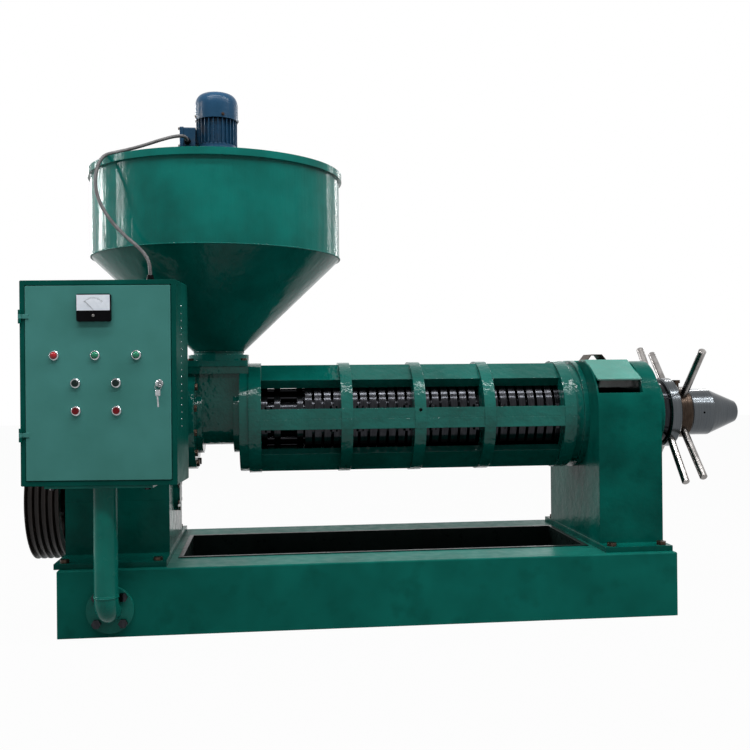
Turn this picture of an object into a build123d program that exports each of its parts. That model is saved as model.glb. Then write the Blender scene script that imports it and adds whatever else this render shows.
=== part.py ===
import os
from math import acos, atan2, cos, degrees, hypot, pi, radians, sin, sqrt, tan

from build123d import *

# Screw oil press. Millimetres. X runs along the base, Y = 0 is the plane of the press shaft,
# Z = 0 is the floor, and -Y is the side that the operator stands on.
# The press line is a chain along X: gearbox, lantern, feed housing, cage, pedestal.

# Heights and widths of the base
base_width = 780
base_height = 216
base_plate = 12
base_edge = 5
anchor_pad = 110
anchor_plate = 16
anchor_hole = 11
anchor_inset = 65
tray_width = 431
tray_depth = 150
tray_sheet = 3
tray_lip = 10
tray_clearance = 2

# Fits
running_fit = 0.05
seat_gap = 0.3
bolt_clearance = 0.5

# Press shaft line
shaft_z = base_height + 464

# Gearbox
gearbox_left = -1040
gearbox_length = 345
gearbox_width = 430
gearbox_top = shaft_z + 192
gearbox_wall = 14
gearbox_end_wall = 34
gearbox_round = 60
foot_thickness = 18
foot_width = 730
foot_overhang = 6
foot_bolt = 16
foot_bolt_inset = 24
shaft_rise = 268
first_module = 4
second_module = 4.5
pinion_teeth = 17
wheel_teeth = 51
gear_backlash = 0.5
first_face = 60
second_face = 90
first_gear_x = gearbox_left + 80
second_gear_x = gearbox_left + 190
input_radius = 30
middle_radius = 32
output_left_radius = 40
output_right_radius = 50
bearing_width = 24
bearing_section = 22
cap_thickness = 12
cap_margin = 12
cap_bolt = 8
cap_bolt_count = 6

# Drive pulley
pulley_radius = 222
pulley_grooves = 5
groove_pitch = 22
groove_depth = 17
groove_top = 17
groove_bottom = 9
pulley_edge = 12
pulley_gap = 21
pulley_rim = 14
pulley_web = 22
pulley_hub_radius = 62
pulley_holes = 5

# Lantern and feed housing
gearbox_right = gearbox_left + gearbox_length
lantern_length = 49
lantern_wall = 12
feed_left = gearbox_right + lantern_length
feed_length = 219
feed_right = feed_left + feed_length
feed_x = (feed_left + feed_right) / 2
feed_bore = 71.5
feed_wall = 24
feed_flange_radius = 194
feed_left_flange_radius = 182
feed_flange = 32
feed_collar = 23
feed_collar_radius = 125
feed_top = shaft_z + 188
feed_top_plate = 26
feed_top_width = 212
flange_bolt = 14
flange_bolt_count = 12

# Hopper neck and hopper
neck_radius = 90
neck_sheet = 3
neck_plate = 21
neck_plate_width = 216
neck_plate_round = 12
neck_ring = 22
neck_ring_radius = 109
neck_bolt = 12
neck_bolt_inset = 14
hopper_radius = 444
hopper_neck_z = feed_top + 53
hopper_low = feed_top + 390
hopper_high = hopper_low + 281
hopper_rim_height = 24
hopper_rim_radius = 454
hopper_sheet = 3

# Stirrer drive
beam_width = 130
beam_height = 40
beam_sheet = 8
beam_below_rim = 25
reducer_flange_radius = 95
reducer_flange = 16
reducer_radius = 70
reducer_rim = 12
reducer_bolt = 10
reducer_height = 121
stirrer_radius = 16
stirrer_bottom = feed_top + 37
stirrer_arms = [(54, 350, 0), (-36, 280, 60), (-126, 190, 120)]
stirrer_bar_width = 40
stirrer_bar_thickness = 10
stirrer_hub_wall = 12
motor_core = 64
motor_fin_radius = 74
motor_fins = 28
motor_fin_thickness = 3
motor_bell = 14
motor_frame = 103
fan_cover_radius = 77
fan_cover_side = 52
fan_cover_height = 100
fan_cover_top = 34
fan_cover_sheet = 2.5
fan_slot_circles = (12, 24)
fan_slot_length = 9
fan_slot_width = 4
terminal_reach = 130
terminal_width = 86
terminal_height = 72
terminal_lid = 14
terminal_wall = 4
terminal_round = 6

# Cage: flange, windows between ribs, end rib, drum and end flange
cage_left = feed_right
cage_flange = 44
cage_rib = 41
cage_windows = [280, 219, 210, 254]
cage_end_rib = 45
cage_drum = 28
cage_end_flange = 18
cage_radius = 200
cage_bore = 121
cage_drum_radius = 188
cage_bar_edge = 184
top_bar_angle = 42
top_bar_inner = 145
bottom_bar_angle = 47
bottom_bar_inner = 156
bar_crest_angle = 16
split_half_height = 36
split_depth = 44
split_recess = 3
window_round = 16
sight_hole = 6
ring_pitch = 34
ring_width = 20
ring_sides = 28
ring_collar_radius = 112
ring_bore = 71.5
ring_stack_start = cage_left + 201
open_plates = [44, 90, 171]
open_plate = 22
liner_radius = 92
rod_count = 12
rod_radius = 7
rod_circle = 102
clamp_bolt = 14
clamp_inset = 26

# Places along the cage
rib_starts = [cage_left + cage_flange + cage_windows[0]]
for window in cage_windows[1:]:
    rib_starts.append(rib_starts[-1] + cage_rib + window)
rib_widths = [cage_rib, cage_rib, cage_rib, cage_end_rib]
drum_start = rib_starts[-1] + cage_end_rib
cage_right = drum_start + cage_drum + cage_end_flange

# Worms, as shares of the run from the feed housing to the end of the cage
worm_radius = 70
worm_hub_start = 50
worm_hub_step = 2.5
worm_shaft_radius = 42
worm_start = feed_left + 40
worm_shares = [0.17, 0.14, 0.126, 0.124, 0.117, 0.11, 0.109, 0.104]
worm_pitches = [150, 130, 120, 110, 100, 100, 90, 90]
worm_collar = 30
worm_flight = 14
flight_root = 2

# Discharge pedestal
pedestal_left = cage_right
pedestal_length = 230
pedestal_right = pedestal_left + pedestal_length
pedestal_width = 576
pedestal_top = shaft_z + 196
pedestal_round = 183
pedestal_wall = 24
pedestal_end_wall = 50
pedestal_foot_width = 720
pedestal_foot_overhang = 4
pedestal_bolt = 18
pedestal_bolt_inset = 26
pedestal_seat = 111
pedestal_boss_radius = 138
pedestal_boss = 83
pedestal_boss_round = 10
window_start = pedestal_left + 6
window_end = window_start + 162
window_low = shaft_z + 82
hood_inner_y = 125
hood_outer_y = 262
hood_low = pedestal_top - 70
hood_sheet = 6
hood_leg = 45
vent_base = 88
vent_crest = 42
vent_height = 28
vent_length = 90
vent_y = -15
vent_x = window_start + 86
vent_sheet = 3

# Length and middle of the base and of the tray opening, which follow the press line
press_shift = 8
base_length = pedestal_right - gearbox_left
base_middle = (gearbox_left + pedestal_right) / 2 + press_shift
anchor_x = base_length / 2 - anchor_inset
anchor_y = base_width / 2 - anchor_inset
tray_x_start = gearbox_right + 40
tray_x_end = pedestal_left - 30

# Adjusting end
boss_face = pedestal_right + pedestal_boss
sleeve_radius = 98
sleeve_tip = cage_right + 56
sleeve_cone = 40
sleeve_tip_radius = 76
sleeve_bore_end = pedestal_right + 4
sleeve_collar_radius = 118
lock_ring_start = boss_face + 26
lock_ring_width = 43
lock_ring_radius = 131
lock_bar_place = 15
adjusting_spigot = 60
spigot_start = sleeve_bore_end + 12
adjusting_neck = 80
adjusting_ring_width = 60
adjusting_ring_radius = 97
ring_chamfer = 5
cone_radius = 88
cone_cylinder = 86
cone_length = 116
cone_tip_radius = 37
cone_edge = 4
grease_hole = 4
bar_radius = 14
bar_reach = 325
bar_chamfer = 3
bar_socket = 14
lock_screw_radius = 11
lock_screw_shank = 14
lock_screw_head = 12

# Pipe under the cabinet
pipe_clearance = 75
pipe_y = -base_width / 2 - pipe_clearance
pipe_radius = 37
pipe_wall = 4
pipe_low = 90
elbow_radius = 57
weld_height = 6
pipe_flange_radius = 75
pipe_flange = 14
pipe_bolt = 16
shelf_length = 330
shelf_width = 150
shelf = 8
shelf_bolt = 10
shelf_bolt_inset = 20

# Control cabinet
cabinet_x = gearbox_left + 172
cabinet_y = pipe_y - 78
cabinet_z = base_height + 287
cabinet_swivel = 5.4
cabinet_width = 474
cabinet_height = 626
cabinet_depth = 185
cabinet_sheet = 3
cabinet_round = 4
cabinet_border = 15
cabinet_lip = 20
pipe_x = cabinet_x + 4
door_gap = 2
door_pan = 18
door_proud = 2
door_round = 3
hinge_radius = 4.5
hinge_pin_radius = 2
hinge_length = 42
hinge_heights = [135, cabinet_height - 131]
hinge_leaf = 26
bezel_radius = 15
bezel_height = 7
bezel_chamfer = 2
lamp_radius = 11
lamp_row = cabinet_height - 229
start_row = cabinet_height - 314
stop_row = cabinet_height - 398
lamp_spots = [(-133, lamp_row), (-9, lamp_row), (116, lamp_row)]
button_spots = [(-69, start_row), (54, start_row), (-68, stop_row), (55, stop_row)]
button_radius = 10.5
button_proud = 3
button_travel = 4
button_depth = 24
button_barrel = 13
meter_round = 6
meter_spot = (-10, cabinet_height - 85)
meter_width = 104
meter_height = 84
meter_proud = 12
lock_inset = 52
lock_spot = (cabinet_width / 2 - lock_inset, cabinet_height / 2 - 3)
lock_radius = 9
lock_collar = 12
lock_cam = 34
lock_cam_width = 14
key_bow = 22
key_stem = 14
key_width = 9
key_hole = 3
key_sheet = 2.5
vent_hole = 3
vent_hole_pitch = 22
vent_hole_low = 175
vent_hole_high = cabinet_height - 55
vent_hole_count = int((vent_hole_high - vent_hole_low) / vent_hole_pitch)
vent_hole_depth = 78

# Flexible conduit between terminal box and cabinet: its first points are measured from the
# face of the gland on the terminal box, the others from the face of the gland on the cabinet
conduit_radius = 6
gland_radius = 11
gland_length = 22
gland_inset = 28
gland_rise = 20
conduit_entry = (cabinet_x + 149, cabinet_y + 65)
conduit_first = [
    (0, -41, 0),
    (-13, -77, -5),
    (-41, -107, -17),
    (-80, -129, -35),
    (-126, -149, -57),
    (-172, -173, -78),
    (-212, -203, -96),
    (-250, -239, -115),
    (-265, -263, -154),
]
conduit_last = [
    (-190, 131, 327),
    (-184, 120, 276),
    (-161, 106, 222),
    (-123, 84, 170),
    (-82, 58, 128),
    (-48, 34, 99),
    (-23, 16, 74),
    (-7, 4, 49),
    (0, 0, 24),
]


shaft_plane = Plane(origin=(0, 0, shaft_z), x_dir=(0, 1, 0), z_dir=(1, 0, 0))
deck = Plane.XY.offset(base_height)


def save(piece, label):
    piece.label = label
    export_step(piece, f"parts/{label}.step")


def across(x):
    """Plane square to the press shaft at a place along X, its centre on the shaft."""
    return shaft_plane.offset(x)


def turned(profile, y=0, z=shaft_z):
    """Body turned about an axis along X, from points of (x, radius)."""
    with BuildPart() as body:
        with BuildSketch(Plane(origin=(0, y, z), x_dir=(1, 0, 0), z_dir=(0, -1, 0))):
            with BuildLine():
                Polyline(*profile, close=True)
            make_face()
        revolve(axis=Axis((0, y, z), (1, 0, 0)))
    return body.part


def ring_sector(outer, inner, start, end):
    """Face between two radii and two angles, drawn in the active sketch."""
    with BuildLine() as outline:
        rim = CenterArc((0, 0), outer, start, end - start)
        bore = CenterArc((0, 0), inner, start, end - start)
        Line(rim @ 0, bore @ 0)
        Line(rim @ 1, bore @ 1)
    make_face(outline.edges())


def hex_bolts(plane, spots, size, length, head=None):
    """Hexagon bolts in the active part: heads on the plane, shanks behind it."""
    head = head or 0.65 * size
    with BuildSketch(plane) as heads:
        with Locations(*spots):
            RegularPolygon(0.95 * size, 6)
    extrude(heads.sketch, amount=head)
    if length:
        with BuildSketch(plane) as shanks:
            with Locations(*spots):
                Circle(size / 2)
        extrude(shanks.sketch, amount=-length)


def holes(plane, spots, size, depth):
    """Clearance holes for bolts in the active part."""
    with BuildSketch(plane) as rounds:
        with Locations(*spots):
            Circle(size / 2 + bolt_clearance)
    extrude(rounds.sketch, amount=-depth, mode=Mode.SUBTRACT)


def ring_spots(radius, count, start=0.0):
    step = 2 * pi / count
    return [
        (radius * cos(radians(start) + i * step), radius * sin(radians(start) + i * step))
        for i in range(count)
    ]


os.makedirs("parts", exist_ok=True)

# Base frame
tray_length = tray_x_end - tray_x_start
tray_x = (tray_x_start + tray_x_end) / 2
rail_width = (base_width - tray_width) / 2
left_deck = tray_x_start - base_middle + base_length / 2
right_deck = base_middle + base_length / 2 - tray_x_end
with BuildPart() as base_frame:
    with BuildSketch():
        with Locations((base_middle, 0)):
            Rectangle(base_length, base_width)
    extrude(amount=base_height)
    fillet(base_frame.edges().filter_by(Axis.Z), base_edge)
    fillet(base_frame.faces().sort_by(Axis.Z)[-1].outer_wire().edges(), base_edge)
    with BuildSketch(deck):
        with Locations((tray_x, 0)):
            Rectangle(tray_length, tray_width)
    extrude(amount=-base_height, mode=Mode.SUBTRACT)
    with BuildSketch():
        for side in (-1, 1):
            with Locations((base_middle, side * (tray_width + rail_width) / 2)):
                Rectangle(base_length - 2 * base_plate, rail_width - 2 * base_plate)
        with Locations((tray_x_start - left_deck / 2, 0)):
            Rectangle(left_deck - 2 * base_plate, tray_width - 2 * base_plate)
        with Locations((tray_x_end + right_deck / 2, 0)):
            Rectangle(right_deck - 2 * base_plate, tray_width - 2 * base_plate)
    extrude(amount=base_height - base_plate, mode=Mode.SUBTRACT)
    with BuildSketch(Plane.XY.move(Location((base_middle, 0, 0)))):
        with GridLocations(2 * anchor_x, 2 * anchor_y, 2, 2):
            Rectangle(anchor_pad, anchor_pad)
    extrude(amount=anchor_plate)
    with BuildSketch(Plane.XY.move(Location((base_middle, 0, 0)))):
        with GridLocations(2 * anchor_x, 2 * anchor_y, 2, 2):
            Circle(anchor_hole)
    extrude(amount=anchor_plate, mode=Mode.SUBTRACT)
save(base_frame.part, "base_frame")

with BuildPart() as oil_tray:
    with BuildSketch(deck):
        with Locations((tray_x, 0)):
            Rectangle(tray_length + 2 * tray_lip, tray_width + 2 * tray_lip)
    extrude(amount=tray_sheet)
    with BuildSketch(deck):
        with Locations((tray_x, 0)):
            Rectangle(tray_length - 2 * tray_clearance, tray_width - 2 * tray_clearance)
    extrude(amount=-tray_depth)
    with BuildSketch(deck.offset(tray_sheet)):
        with Locations((tray_x, 0)):
            Rectangle(
                tray_length - 2 * tray_clearance - 2 * tray_sheet,
                tray_width - 2 * tray_clearance - 2 * tray_sheet,
            )
    extrude(amount=-tray_depth, mode=Mode.SUBTRACT)
save(oil_tray.part, "oil_tray")

# Gear train layout: the middle shaft stands where both centre distances meet
first_distance = first_module * (pinion_teeth + wheel_teeth) / 2
second_distance = second_module * (pinion_teeth + wheel_teeth) / 2
input_z = shaft_z - shaft_rise
middle_rise = (shaft_rise**2 + first_distance**2 - second_distance**2) / (2 * shaft_rise)
middle_y = sqrt(first_distance**2 - middle_rise**2)
middle_z = input_z + middle_rise
gearbox_x = (gearbox_left + gearbox_right) / 2
foot_top = base_height + foot_thickness
shaft_holes = [
    (0, input_z, input_radius, input_radius),
    (middle_y, middle_z, middle_radius, middle_radius),
    (0, shaft_z, output_left_radius, output_right_radius),
]
foot_x = gearbox_length / 2 - foot_bolt_inset
foot_y = foot_width / 2 - foot_bolt_inset


def bearing_bores(low, high):
    """Bores for the bearings in both end walls of a housing between two heights."""
    for y, z, left_radius, right_radius in shaft_holes:
        for x, radius, way in ((gearbox_left, left_radius, 1), (gearbox_right, right_radius, -1)):
            reach = radius + bearing_section
            if z + reach > low and z - reach < high:
                with BuildSketch(Plane.YZ.offset(x)) as bore:
                    with Locations((y, z)):
                        Circle(reach)
                extrude(bore.sketch, amount=way * gearbox_end_wall, mode=Mode.SUBTRACT)


def gearbox_shell(low, high):
    """Four walls of the gearbox between two heights, rounded on the upright edges."""
    with BuildSketch(Plane.XY.offset(low)) as walls:
        with Locations((gearbox_x, 0)):
            Rectangle(gearbox_length, gearbox_width)
            Rectangle(
                gearbox_length - 2 * gearbox_end_wall,
                gearbox_width - 2 * gearbox_wall,
                mode=Mode.SUBTRACT,
            )
    extrude(walls.sketch, amount=high - low)


with BuildPart() as gearbox_lower_housing:
    with BuildSketch(deck):
        with Locations((gearbox_x, 0)):
            Rectangle(gearbox_length + 2 * foot_overhang, foot_width)
    extrude(amount=foot_thickness)
    gearbox_shell(foot_top, input_z)
    bearing_bores(foot_top, input_z)
    foot_spots = [(gearbox_x + i * foot_x, j * foot_y) for i in (-1, 1) for j in (-1, 1)]
    holes(Plane.XY.offset(foot_top), foot_spots, foot_bolt, foot_thickness)
save(gearbox_lower_housing.part, "gearbox_lower_housing")

with BuildPart() as gearbox_middle_housing:
    gearbox_shell(input_z, shaft_z)
    bearing_bores(input_z, shaft_z)
save(gearbox_middle_housing.part, "gearbox_middle_housing")

with BuildPart() as gearbox_cover:
    with BuildSketch(Plane.YZ.offset(gearbox_left)) as outside:
        with Locations((0, (shaft_z + gearbox_top) / 2)):
            Rectangle(gearbox_width, gearbox_top - shaft_z)
        fillet(outside.vertices().group_by(Axis.Y)[-1], gearbox_round)
    extrude(amount=gearbox_length)
    with BuildSketch(Plane.YZ.offset(gearbox_left + gearbox_end_wall)) as inside:
        with Locations((0, (shaft_z + gearbox_top) / 2 - gearbox_wall / 2)):
            Rectangle(gearbox_width - 2 * gearbox_wall, gearbox_top - shaft_z - gearbox_wall)
        fillet(inside.vertices().group_by(Axis.Y)[-1], gearbox_round - gearbox_wall)
    extrude(amount=gearbox_length - 2 * gearbox_end_wall, mode=Mode.SUBTRACT)
    bearing_bores(shaft_z, gearbox_top)
save(gearbox_cover.part, "gearbox_cover")

# Bearing caps outside the gearbox walls: (x of the wall, y, z, shaft radius, open for a shaft, way)
cap_places = [
    (gearbox_left, 0, input_z, input_radius, True, -1),
    (gearbox_left, middle_y, middle_z, middle_radius, False, -1),
    (gearbox_left, 0, shaft_z, output_left_radius, False, -1),
    (gearbox_right, 0, input_z, input_radius, False, 1),
    (gearbox_right, middle_y, middle_z, middle_radius, False, 1),
]
with BuildPart() as gearbox_bearing_caps:
    for x, y, z, radius, is_open, way in cap_places:
        with BuildSketch(Plane.YZ.offset(x)):
            with Locations((y, z)):
                Circle(radius + bearing_section + cap_margin)
        extrude(amount=way * cap_thickness)
        with BuildSketch(Plane.YZ.offset(x + way * cap_thickness)):
            with Locations((y, z)):
                Circle(radius + 0.5 * bearing_section)
        extrude(amount=way * 0.5 * cap_thickness)
        if is_open:
            with BuildSketch(Plane.YZ.offset(x)):
                with Locations((y, z)):
                    Circle(radius + seat_gap)
            extrude(amount=way * 2 * cap_thickness, mode=Mode.SUBTRACT)
save(gearbox_bearing_caps.part, "gearbox_bearing_caps")

with BuildPart() as gearbox_bolts:
    hex_bolts(Plane.XY.offset(foot_top), foot_spots, foot_bolt, foot_thickness)
    for x, y, z, radius, is_open, way in cap_places:
        face = Plane(
            origin=(x + way * cap_thickness, y, z), x_dir=(0, way, 0), z_dir=(way, 0, 0)
        )
        spots = ring_spots(radius + bearing_section + cap_margin / 2, cap_bolt_count, 30)
        hex_bolts(face, spots, cap_bolt, 0)
save(gearbox_bolts.part, "gearbox_bolts")

with BuildPart() as shaft_bearings:
    for y, z, left_radius, right_radius in shaft_holes:
        for x, radius, way in ((gearbox_left, left_radius, 1), (gearbox_right, right_radius, -1)):
            with BuildSketch(Plane.YZ.offset(x)):
                with Locations((y, z)):
                    Circle(radius + bearing_section)
                    Circle(radius + running_fit, mode=Mode.SUBTRACT)
            extrude(amount=way * bearing_width)
save(shaft_bearings.part, "shaft_bearings")


# Gears with involute teeth
def gear_face(teeth, module, phase):
    """Toothed face in the active sketch, with one tooth standing at the phase angle."""
    pitch_radius = module * teeth / 2
    base_radius = pitch_radius * cos(radians(20))
    tip_radius = pitch_radius + module
    root_radius = pitch_radius - 1.25 * module
    start_radius = max(base_radius, root_radius)
    half_tooth = pi / (2 * teeth) - gear_backlash / (2 * pitch_radius)

    def flank(radius, side):
        pressure = acos(base_radius / radius)
        at_pitch = tan(radians(20)) - radians(20)
        angle = side * (half_tooth + at_pitch - tan(pressure) + pressure)
        return (radius * cos(angle), radius * sin(angle))

    middle_radius_here = (start_radius + tip_radius) / 2
    foot_low = flank(start_radius, -1)
    foot_high = flank(start_radius, 1)
    inward = (root_radius - 1) / start_radius
    Circle(root_radius)
    with PolarLocations(0, teeth, start_angle=phase):
        with BuildSketch(mode=Mode.PRIVATE) as tooth:
            with BuildLine():
                ThreePointArc(
                    foot_low, flank(middle_radius_here, -1), flank(tip_radius, -1)
                )
                Line(flank(tip_radius, -1), flank(tip_radius, 1))
                ThreePointArc(
                    flank(tip_radius, 1), flank(middle_radius_here, 1), foot_high
                )
                Line(foot_high, (foot_high[0] * inward, foot_high[1] * inward))
                Line(
                    (foot_high[0] * inward, foot_high[1] * inward),
                    (foot_low[0] * inward, foot_low[1] * inward),
                )
                Line((foot_low[0] * inward, foot_low[1] * inward), foot_low)
            make_face()
        add(tooth.sketch)


def pinion_shaft(y, z, start, end, radius, teeth, module, face_x, face_width, phase):
    """Shaft with a pinion cut on it."""
    with BuildPart() as shaft:
        with BuildSketch(Plane.YZ.offset(start)):
            with Locations((y, z)):
                Circle(radius)
        extrude(amount=end - start)
        chamfer(shaft.edges().group_by(Axis.X)[0] + shaft.edges().group_by(Axis.X)[-1], 2)
        plane = Plane(origin=(face_x - face_width / 2, y, z), x_dir=(0, 1, 0), z_dir=(1, 0, 0))
        with BuildSketch(plane):
            gear_face(teeth, module, phase)
        extrude(amount=face_width)
    return shaft.part


def gear_wheel(y, z, teeth, module, face_x, face_width, phase, bore):
    """Wheel with a rim, a thin web and a hub."""
    plane = Plane(origin=(face_x - face_width / 2, y, z), x_dir=(0, 1, 0), z_dir=(1, 0, 0))
    rim = module * teeth / 2 - 4 * module
    hub = bore + 20
    with BuildPart() as wheel:
        with BuildSketch(plane):
            gear_face(teeth, module, phase)
            Circle(bore, mode=Mode.SUBTRACT)
        extrude(amount=face_width)
        for start, way in ((plane, 1), (plane.offset(face_width), -1)):
            with BuildSketch(start):
                Circle(rim)
                Circle(hub, mode=Mode.SUBTRACT)
            extrude(amount=way * face_width / 4, mode=Mode.SUBTRACT)
    return wheel.part


to_middle = degrees(atan2(middle_z - input_z, middle_y))
to_output = degrees(atan2(shaft_z - middle_z, -middle_y))
half_pitch = 180 / wheel_teeth
input_end = gearbox_right - 4
input_pinion_shaft = pinion_shaft(
    0, input_z, gearbox_left - pulley_gap - pulley_grooves * groove_pitch, input_end,
    input_radius, pinion_teeth, first_module, first_gear_x, first_face + 6, to_middle,
)
save(input_pinion_shaft, "input_pinion_shaft")
intermediate_pinion_shaft = pinion_shaft(
    middle_y, middle_z, gearbox_left + 4, gearbox_right - 4,
    middle_radius, pinion_teeth, second_module, second_gear_x, second_face + 6, to_output,
)
save(intermediate_pinion_shaft, "intermediate_pinion_shaft")
intermediate_gear = gear_wheel(
    middle_y, middle_z, wheel_teeth, first_module, first_gear_x, first_face,
    to_middle + 180 + half_pitch, middle_radius,
)
save(intermediate_gear, "intermediate_gear")
output_gear = gear_wheel(
    0, shaft_z, wheel_teeth, second_module, second_gear_x, second_face,
    to_output + 180 + half_pitch, output_right_radius,
)
save(output_gear, "output_gear")

# Drive pulley with V grooves
pulley_width = (pulley_grooves - 1) * groove_pitch + 2 * pulley_edge
pulley_right = gearbox_left - pulley_gap
pulley_left = pulley_right - pulley_width
rim_inner = pulley_radius - groove_depth - pulley_rim
profile = [(pulley_left, rim_inner), (pulley_left, pulley_radius)]
for i in range(pulley_grooves):
    centre = pulley_left + pulley_edge + i * groove_pitch
    profile += [
        (centre - groove_top / 2, pulley_radius),
        (centre - groove_bottom / 2, pulley_radius - groove_depth),
        (centre + groove_bottom / 2, pulley_radius - groove_depth),
        (centre + groove_top / 2, pulley_radius),
    ]
profile += [(pulley_right, pulley_radius), (pulley_right, rim_inner)]
web_left = (pulley_left + pulley_right) / 2 - pulley_web / 2
hub_right = pulley_right - 6
hub_left = pulley_left + 16
with BuildPart() as drive_pulley:
    add(turned(profile, z=input_z))
    add(
        turned(
            [
                (web_left, pulley_hub_radius - 10), (web_left, rim_inner + 2),
                (web_left + pulley_web, rim_inner + 2),
                (web_left + pulley_web, pulley_hub_radius - 10),
            ],
            z=input_z,
        )
    )
    add(
        turned(
            [
                (hub_left, input_radius), (hub_left, pulley_hub_radius),
                (hub_right, pulley_hub_radius), (hub_right, input_radius),
            ],
            z=input_z,
        )
    )
    with BuildSketch(Plane(origin=(web_left, 0, input_z), x_dir=(0, 1, 0), z_dir=(1, 0, 0))):
        with PolarLocations((rim_inner + pulley_hub_radius) / 2, pulley_holes):
            Circle((rim_inner - pulley_hub_radius) / 3)
    extrude(amount=pulley_web, mode=Mode.SUBTRACT)
save(drive_pulley.part, "drive_pulley")

# Press shaft and its worms
shaft_left = gearbox_left + 4
output_step = first_gear_x + first_face / 2 + 20
worm_shaft = turned(
    [
        (shaft_left, 0), (shaft_left, output_left_radius), (output_step, output_left_radius),
        (output_step, output_right_radius), (worm_start, output_right_radius),
        (worm_start, worm_shaft_radius), (sleeve_bore_end - 8, worm_shaft_radius),
        (sleeve_bore_end - 8, 0),
    ]
)
save(worm_shaft, "worm_shaft")


def worm_section(start, end, pitch, hub, next_hub):
    """One worm: a hub with a helical flight, and a collar that leads to the next hub."""
    stop = end - worm_collar
    flight_start = start + worm_flight
    with BuildPart() as piece:
        add(
            turned(
                [
                    (start, worm_shaft_radius), (start, hub), (stop, hub),
                    (end, next_hub), (end, worm_shaft_radius),
                ]
            )
        )
        with BuildLine(mode=Mode.PRIVATE) as path:
            Helix(
                pitch, stop - worm_flight - flight_start, hub - flight_root,
                center=(flight_start, 0, shaft_z), direction=(1, 0, 0),
            )
        edge = path.edges()[0]
        begin = edge @ 0
        outward = (begin - Vector(flight_start, 0, shaft_z)).normalized()
        flight_height = worm_radius - hub + flight_root
        with BuildSketch(Plane(origin=begin, x_dir=outward, z_dir=edge % 0)) as section:
            with Locations((flight_height / 2, 0)):
                Rectangle(flight_height, worm_flight)
        sweep(section.sketch, path=edge, is_frenet=True)
    return piece.part


worm_pieces = []
worm_x = worm_start
for number, (share, pitch) in enumerate(zip(worm_shares, worm_pitches), 1):
    length = share * (cage_right - worm_start)
    hub = worm_hub_start + worm_hub_step * (number - 1)
    next_hub = hub + worm_hub_step * (number < len(worm_shares))
    worm_pieces.append(worm_section(worm_x, worm_x + length, pitch, hub, next_hub))
    worm_x += length
save(Compound(children=worm_pieces), "worm_sections")


# Feed housing between gearbox and cage, with its throat up to the hopper neck
feed_radius = feed_bore + feed_wall
throat = neck_radius - 2 * neck_sheet
with BuildPart() as feed_housing:
    with BuildSketch(across(feed_left)):
        Circle(feed_radius)
    extrude(amount=feed_right - feed_left)
    with BuildSketch(across(feed_left)):
        Circle(feed_left_flange_radius)
    extrude(amount=feed_flange)
    with BuildSketch(across(feed_left + feed_flange)):
        Circle(feed_collar_radius)
    extrude(amount=feed_collar)
    with BuildSketch(across(feed_right)):
        Circle(feed_flange_radius)
    extrude(amount=-feed_flange)
    with BuildSketch(across(feed_right - feed_flange)):
        Circle(feed_collar_radius)
    extrude(amount=-feed_collar)
    with BuildSketch(Plane.XY.offset(shaft_z)):
        with Locations((feed_x, 0)):
            Rectangle(feed_right - feed_left, 2 * feed_radius)
    extrude(amount=feed_top - shaft_z)
    with BuildSketch(Plane.XY.offset(feed_top)):
        with Locations((feed_x, 0)):
            Rectangle(feed_right - feed_left, feed_top_width)
    extrude(amount=-feed_top_plate)
    with BuildSketch(Plane.XY.offset(feed_top)):
        with Locations((feed_x, 0)):
            Rectangle(feed_right - feed_left, 2 * feed_flange_radius)
    extrude(amount=neck_plate, mode=Mode.SUBTRACT)
    with BuildSketch(Plane.XY.offset(shaft_z)):
        with Locations((feed_x, 0)):
            Circle(throat)
    extrude(amount=feed_top - shaft_z, mode=Mode.SUBTRACT)
    with BuildSketch(across(feed_left)):
        Circle(feed_bore)
    extrude(amount=feed_right - feed_left, mode=Mode.SUBTRACT)
save(feed_housing.part, "feed_housing")

# Spacer drum between gearbox and feed housing, with the stud flange
lantern_radius = output_right_radius + bearing_section + cap_margin
with BuildPart() as output_lantern:
    with BuildSketch(Plane.YZ.offset(gearbox_right)):
        with Locations((0, shaft_z)):
            Circle(lantern_radius)
            Circle(lantern_radius - lantern_wall - cap_margin, mode=Mode.SUBTRACT)
    extrude(amount=feed_left - gearbox_right)
    with BuildSketch(Plane.YZ.offset(feed_left)):
        with Locations((0, shaft_z)):
            Circle(feed_left_flange_radius)
            Circle(lantern_radius - lantern_wall, mode=Mode.SUBTRACT)
    extrude(amount=-lantern_wall)
save(output_lantern.part, "output_lantern")

neck_spot = neck_plate_width / 2 - neck_bolt_inset
stud_radius = feed_left_flange_radius - 18
stud_spots = [(y, z) for y, z in ring_spots(stud_radius, flange_bolt_count, 15) if z < 0.9 * stud_radius]
with BuildPart() as feed_bolts:
    hex_bolts(across(feed_left + feed_flange), stud_spots, flange_bolt, 0)
    neck_top = Plane(origin=(feed_x, 0, feed_top + neck_plate), z_dir=(0, 0, 1))
    hex_bolts(
        neck_top,
        [(i * neck_spot, j * neck_spot) for i in (-1, 1) for j in (-1, 1)],
        neck_bolt,
        0,
    )
save(feed_bolts.part, "feed_bolts")

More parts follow.
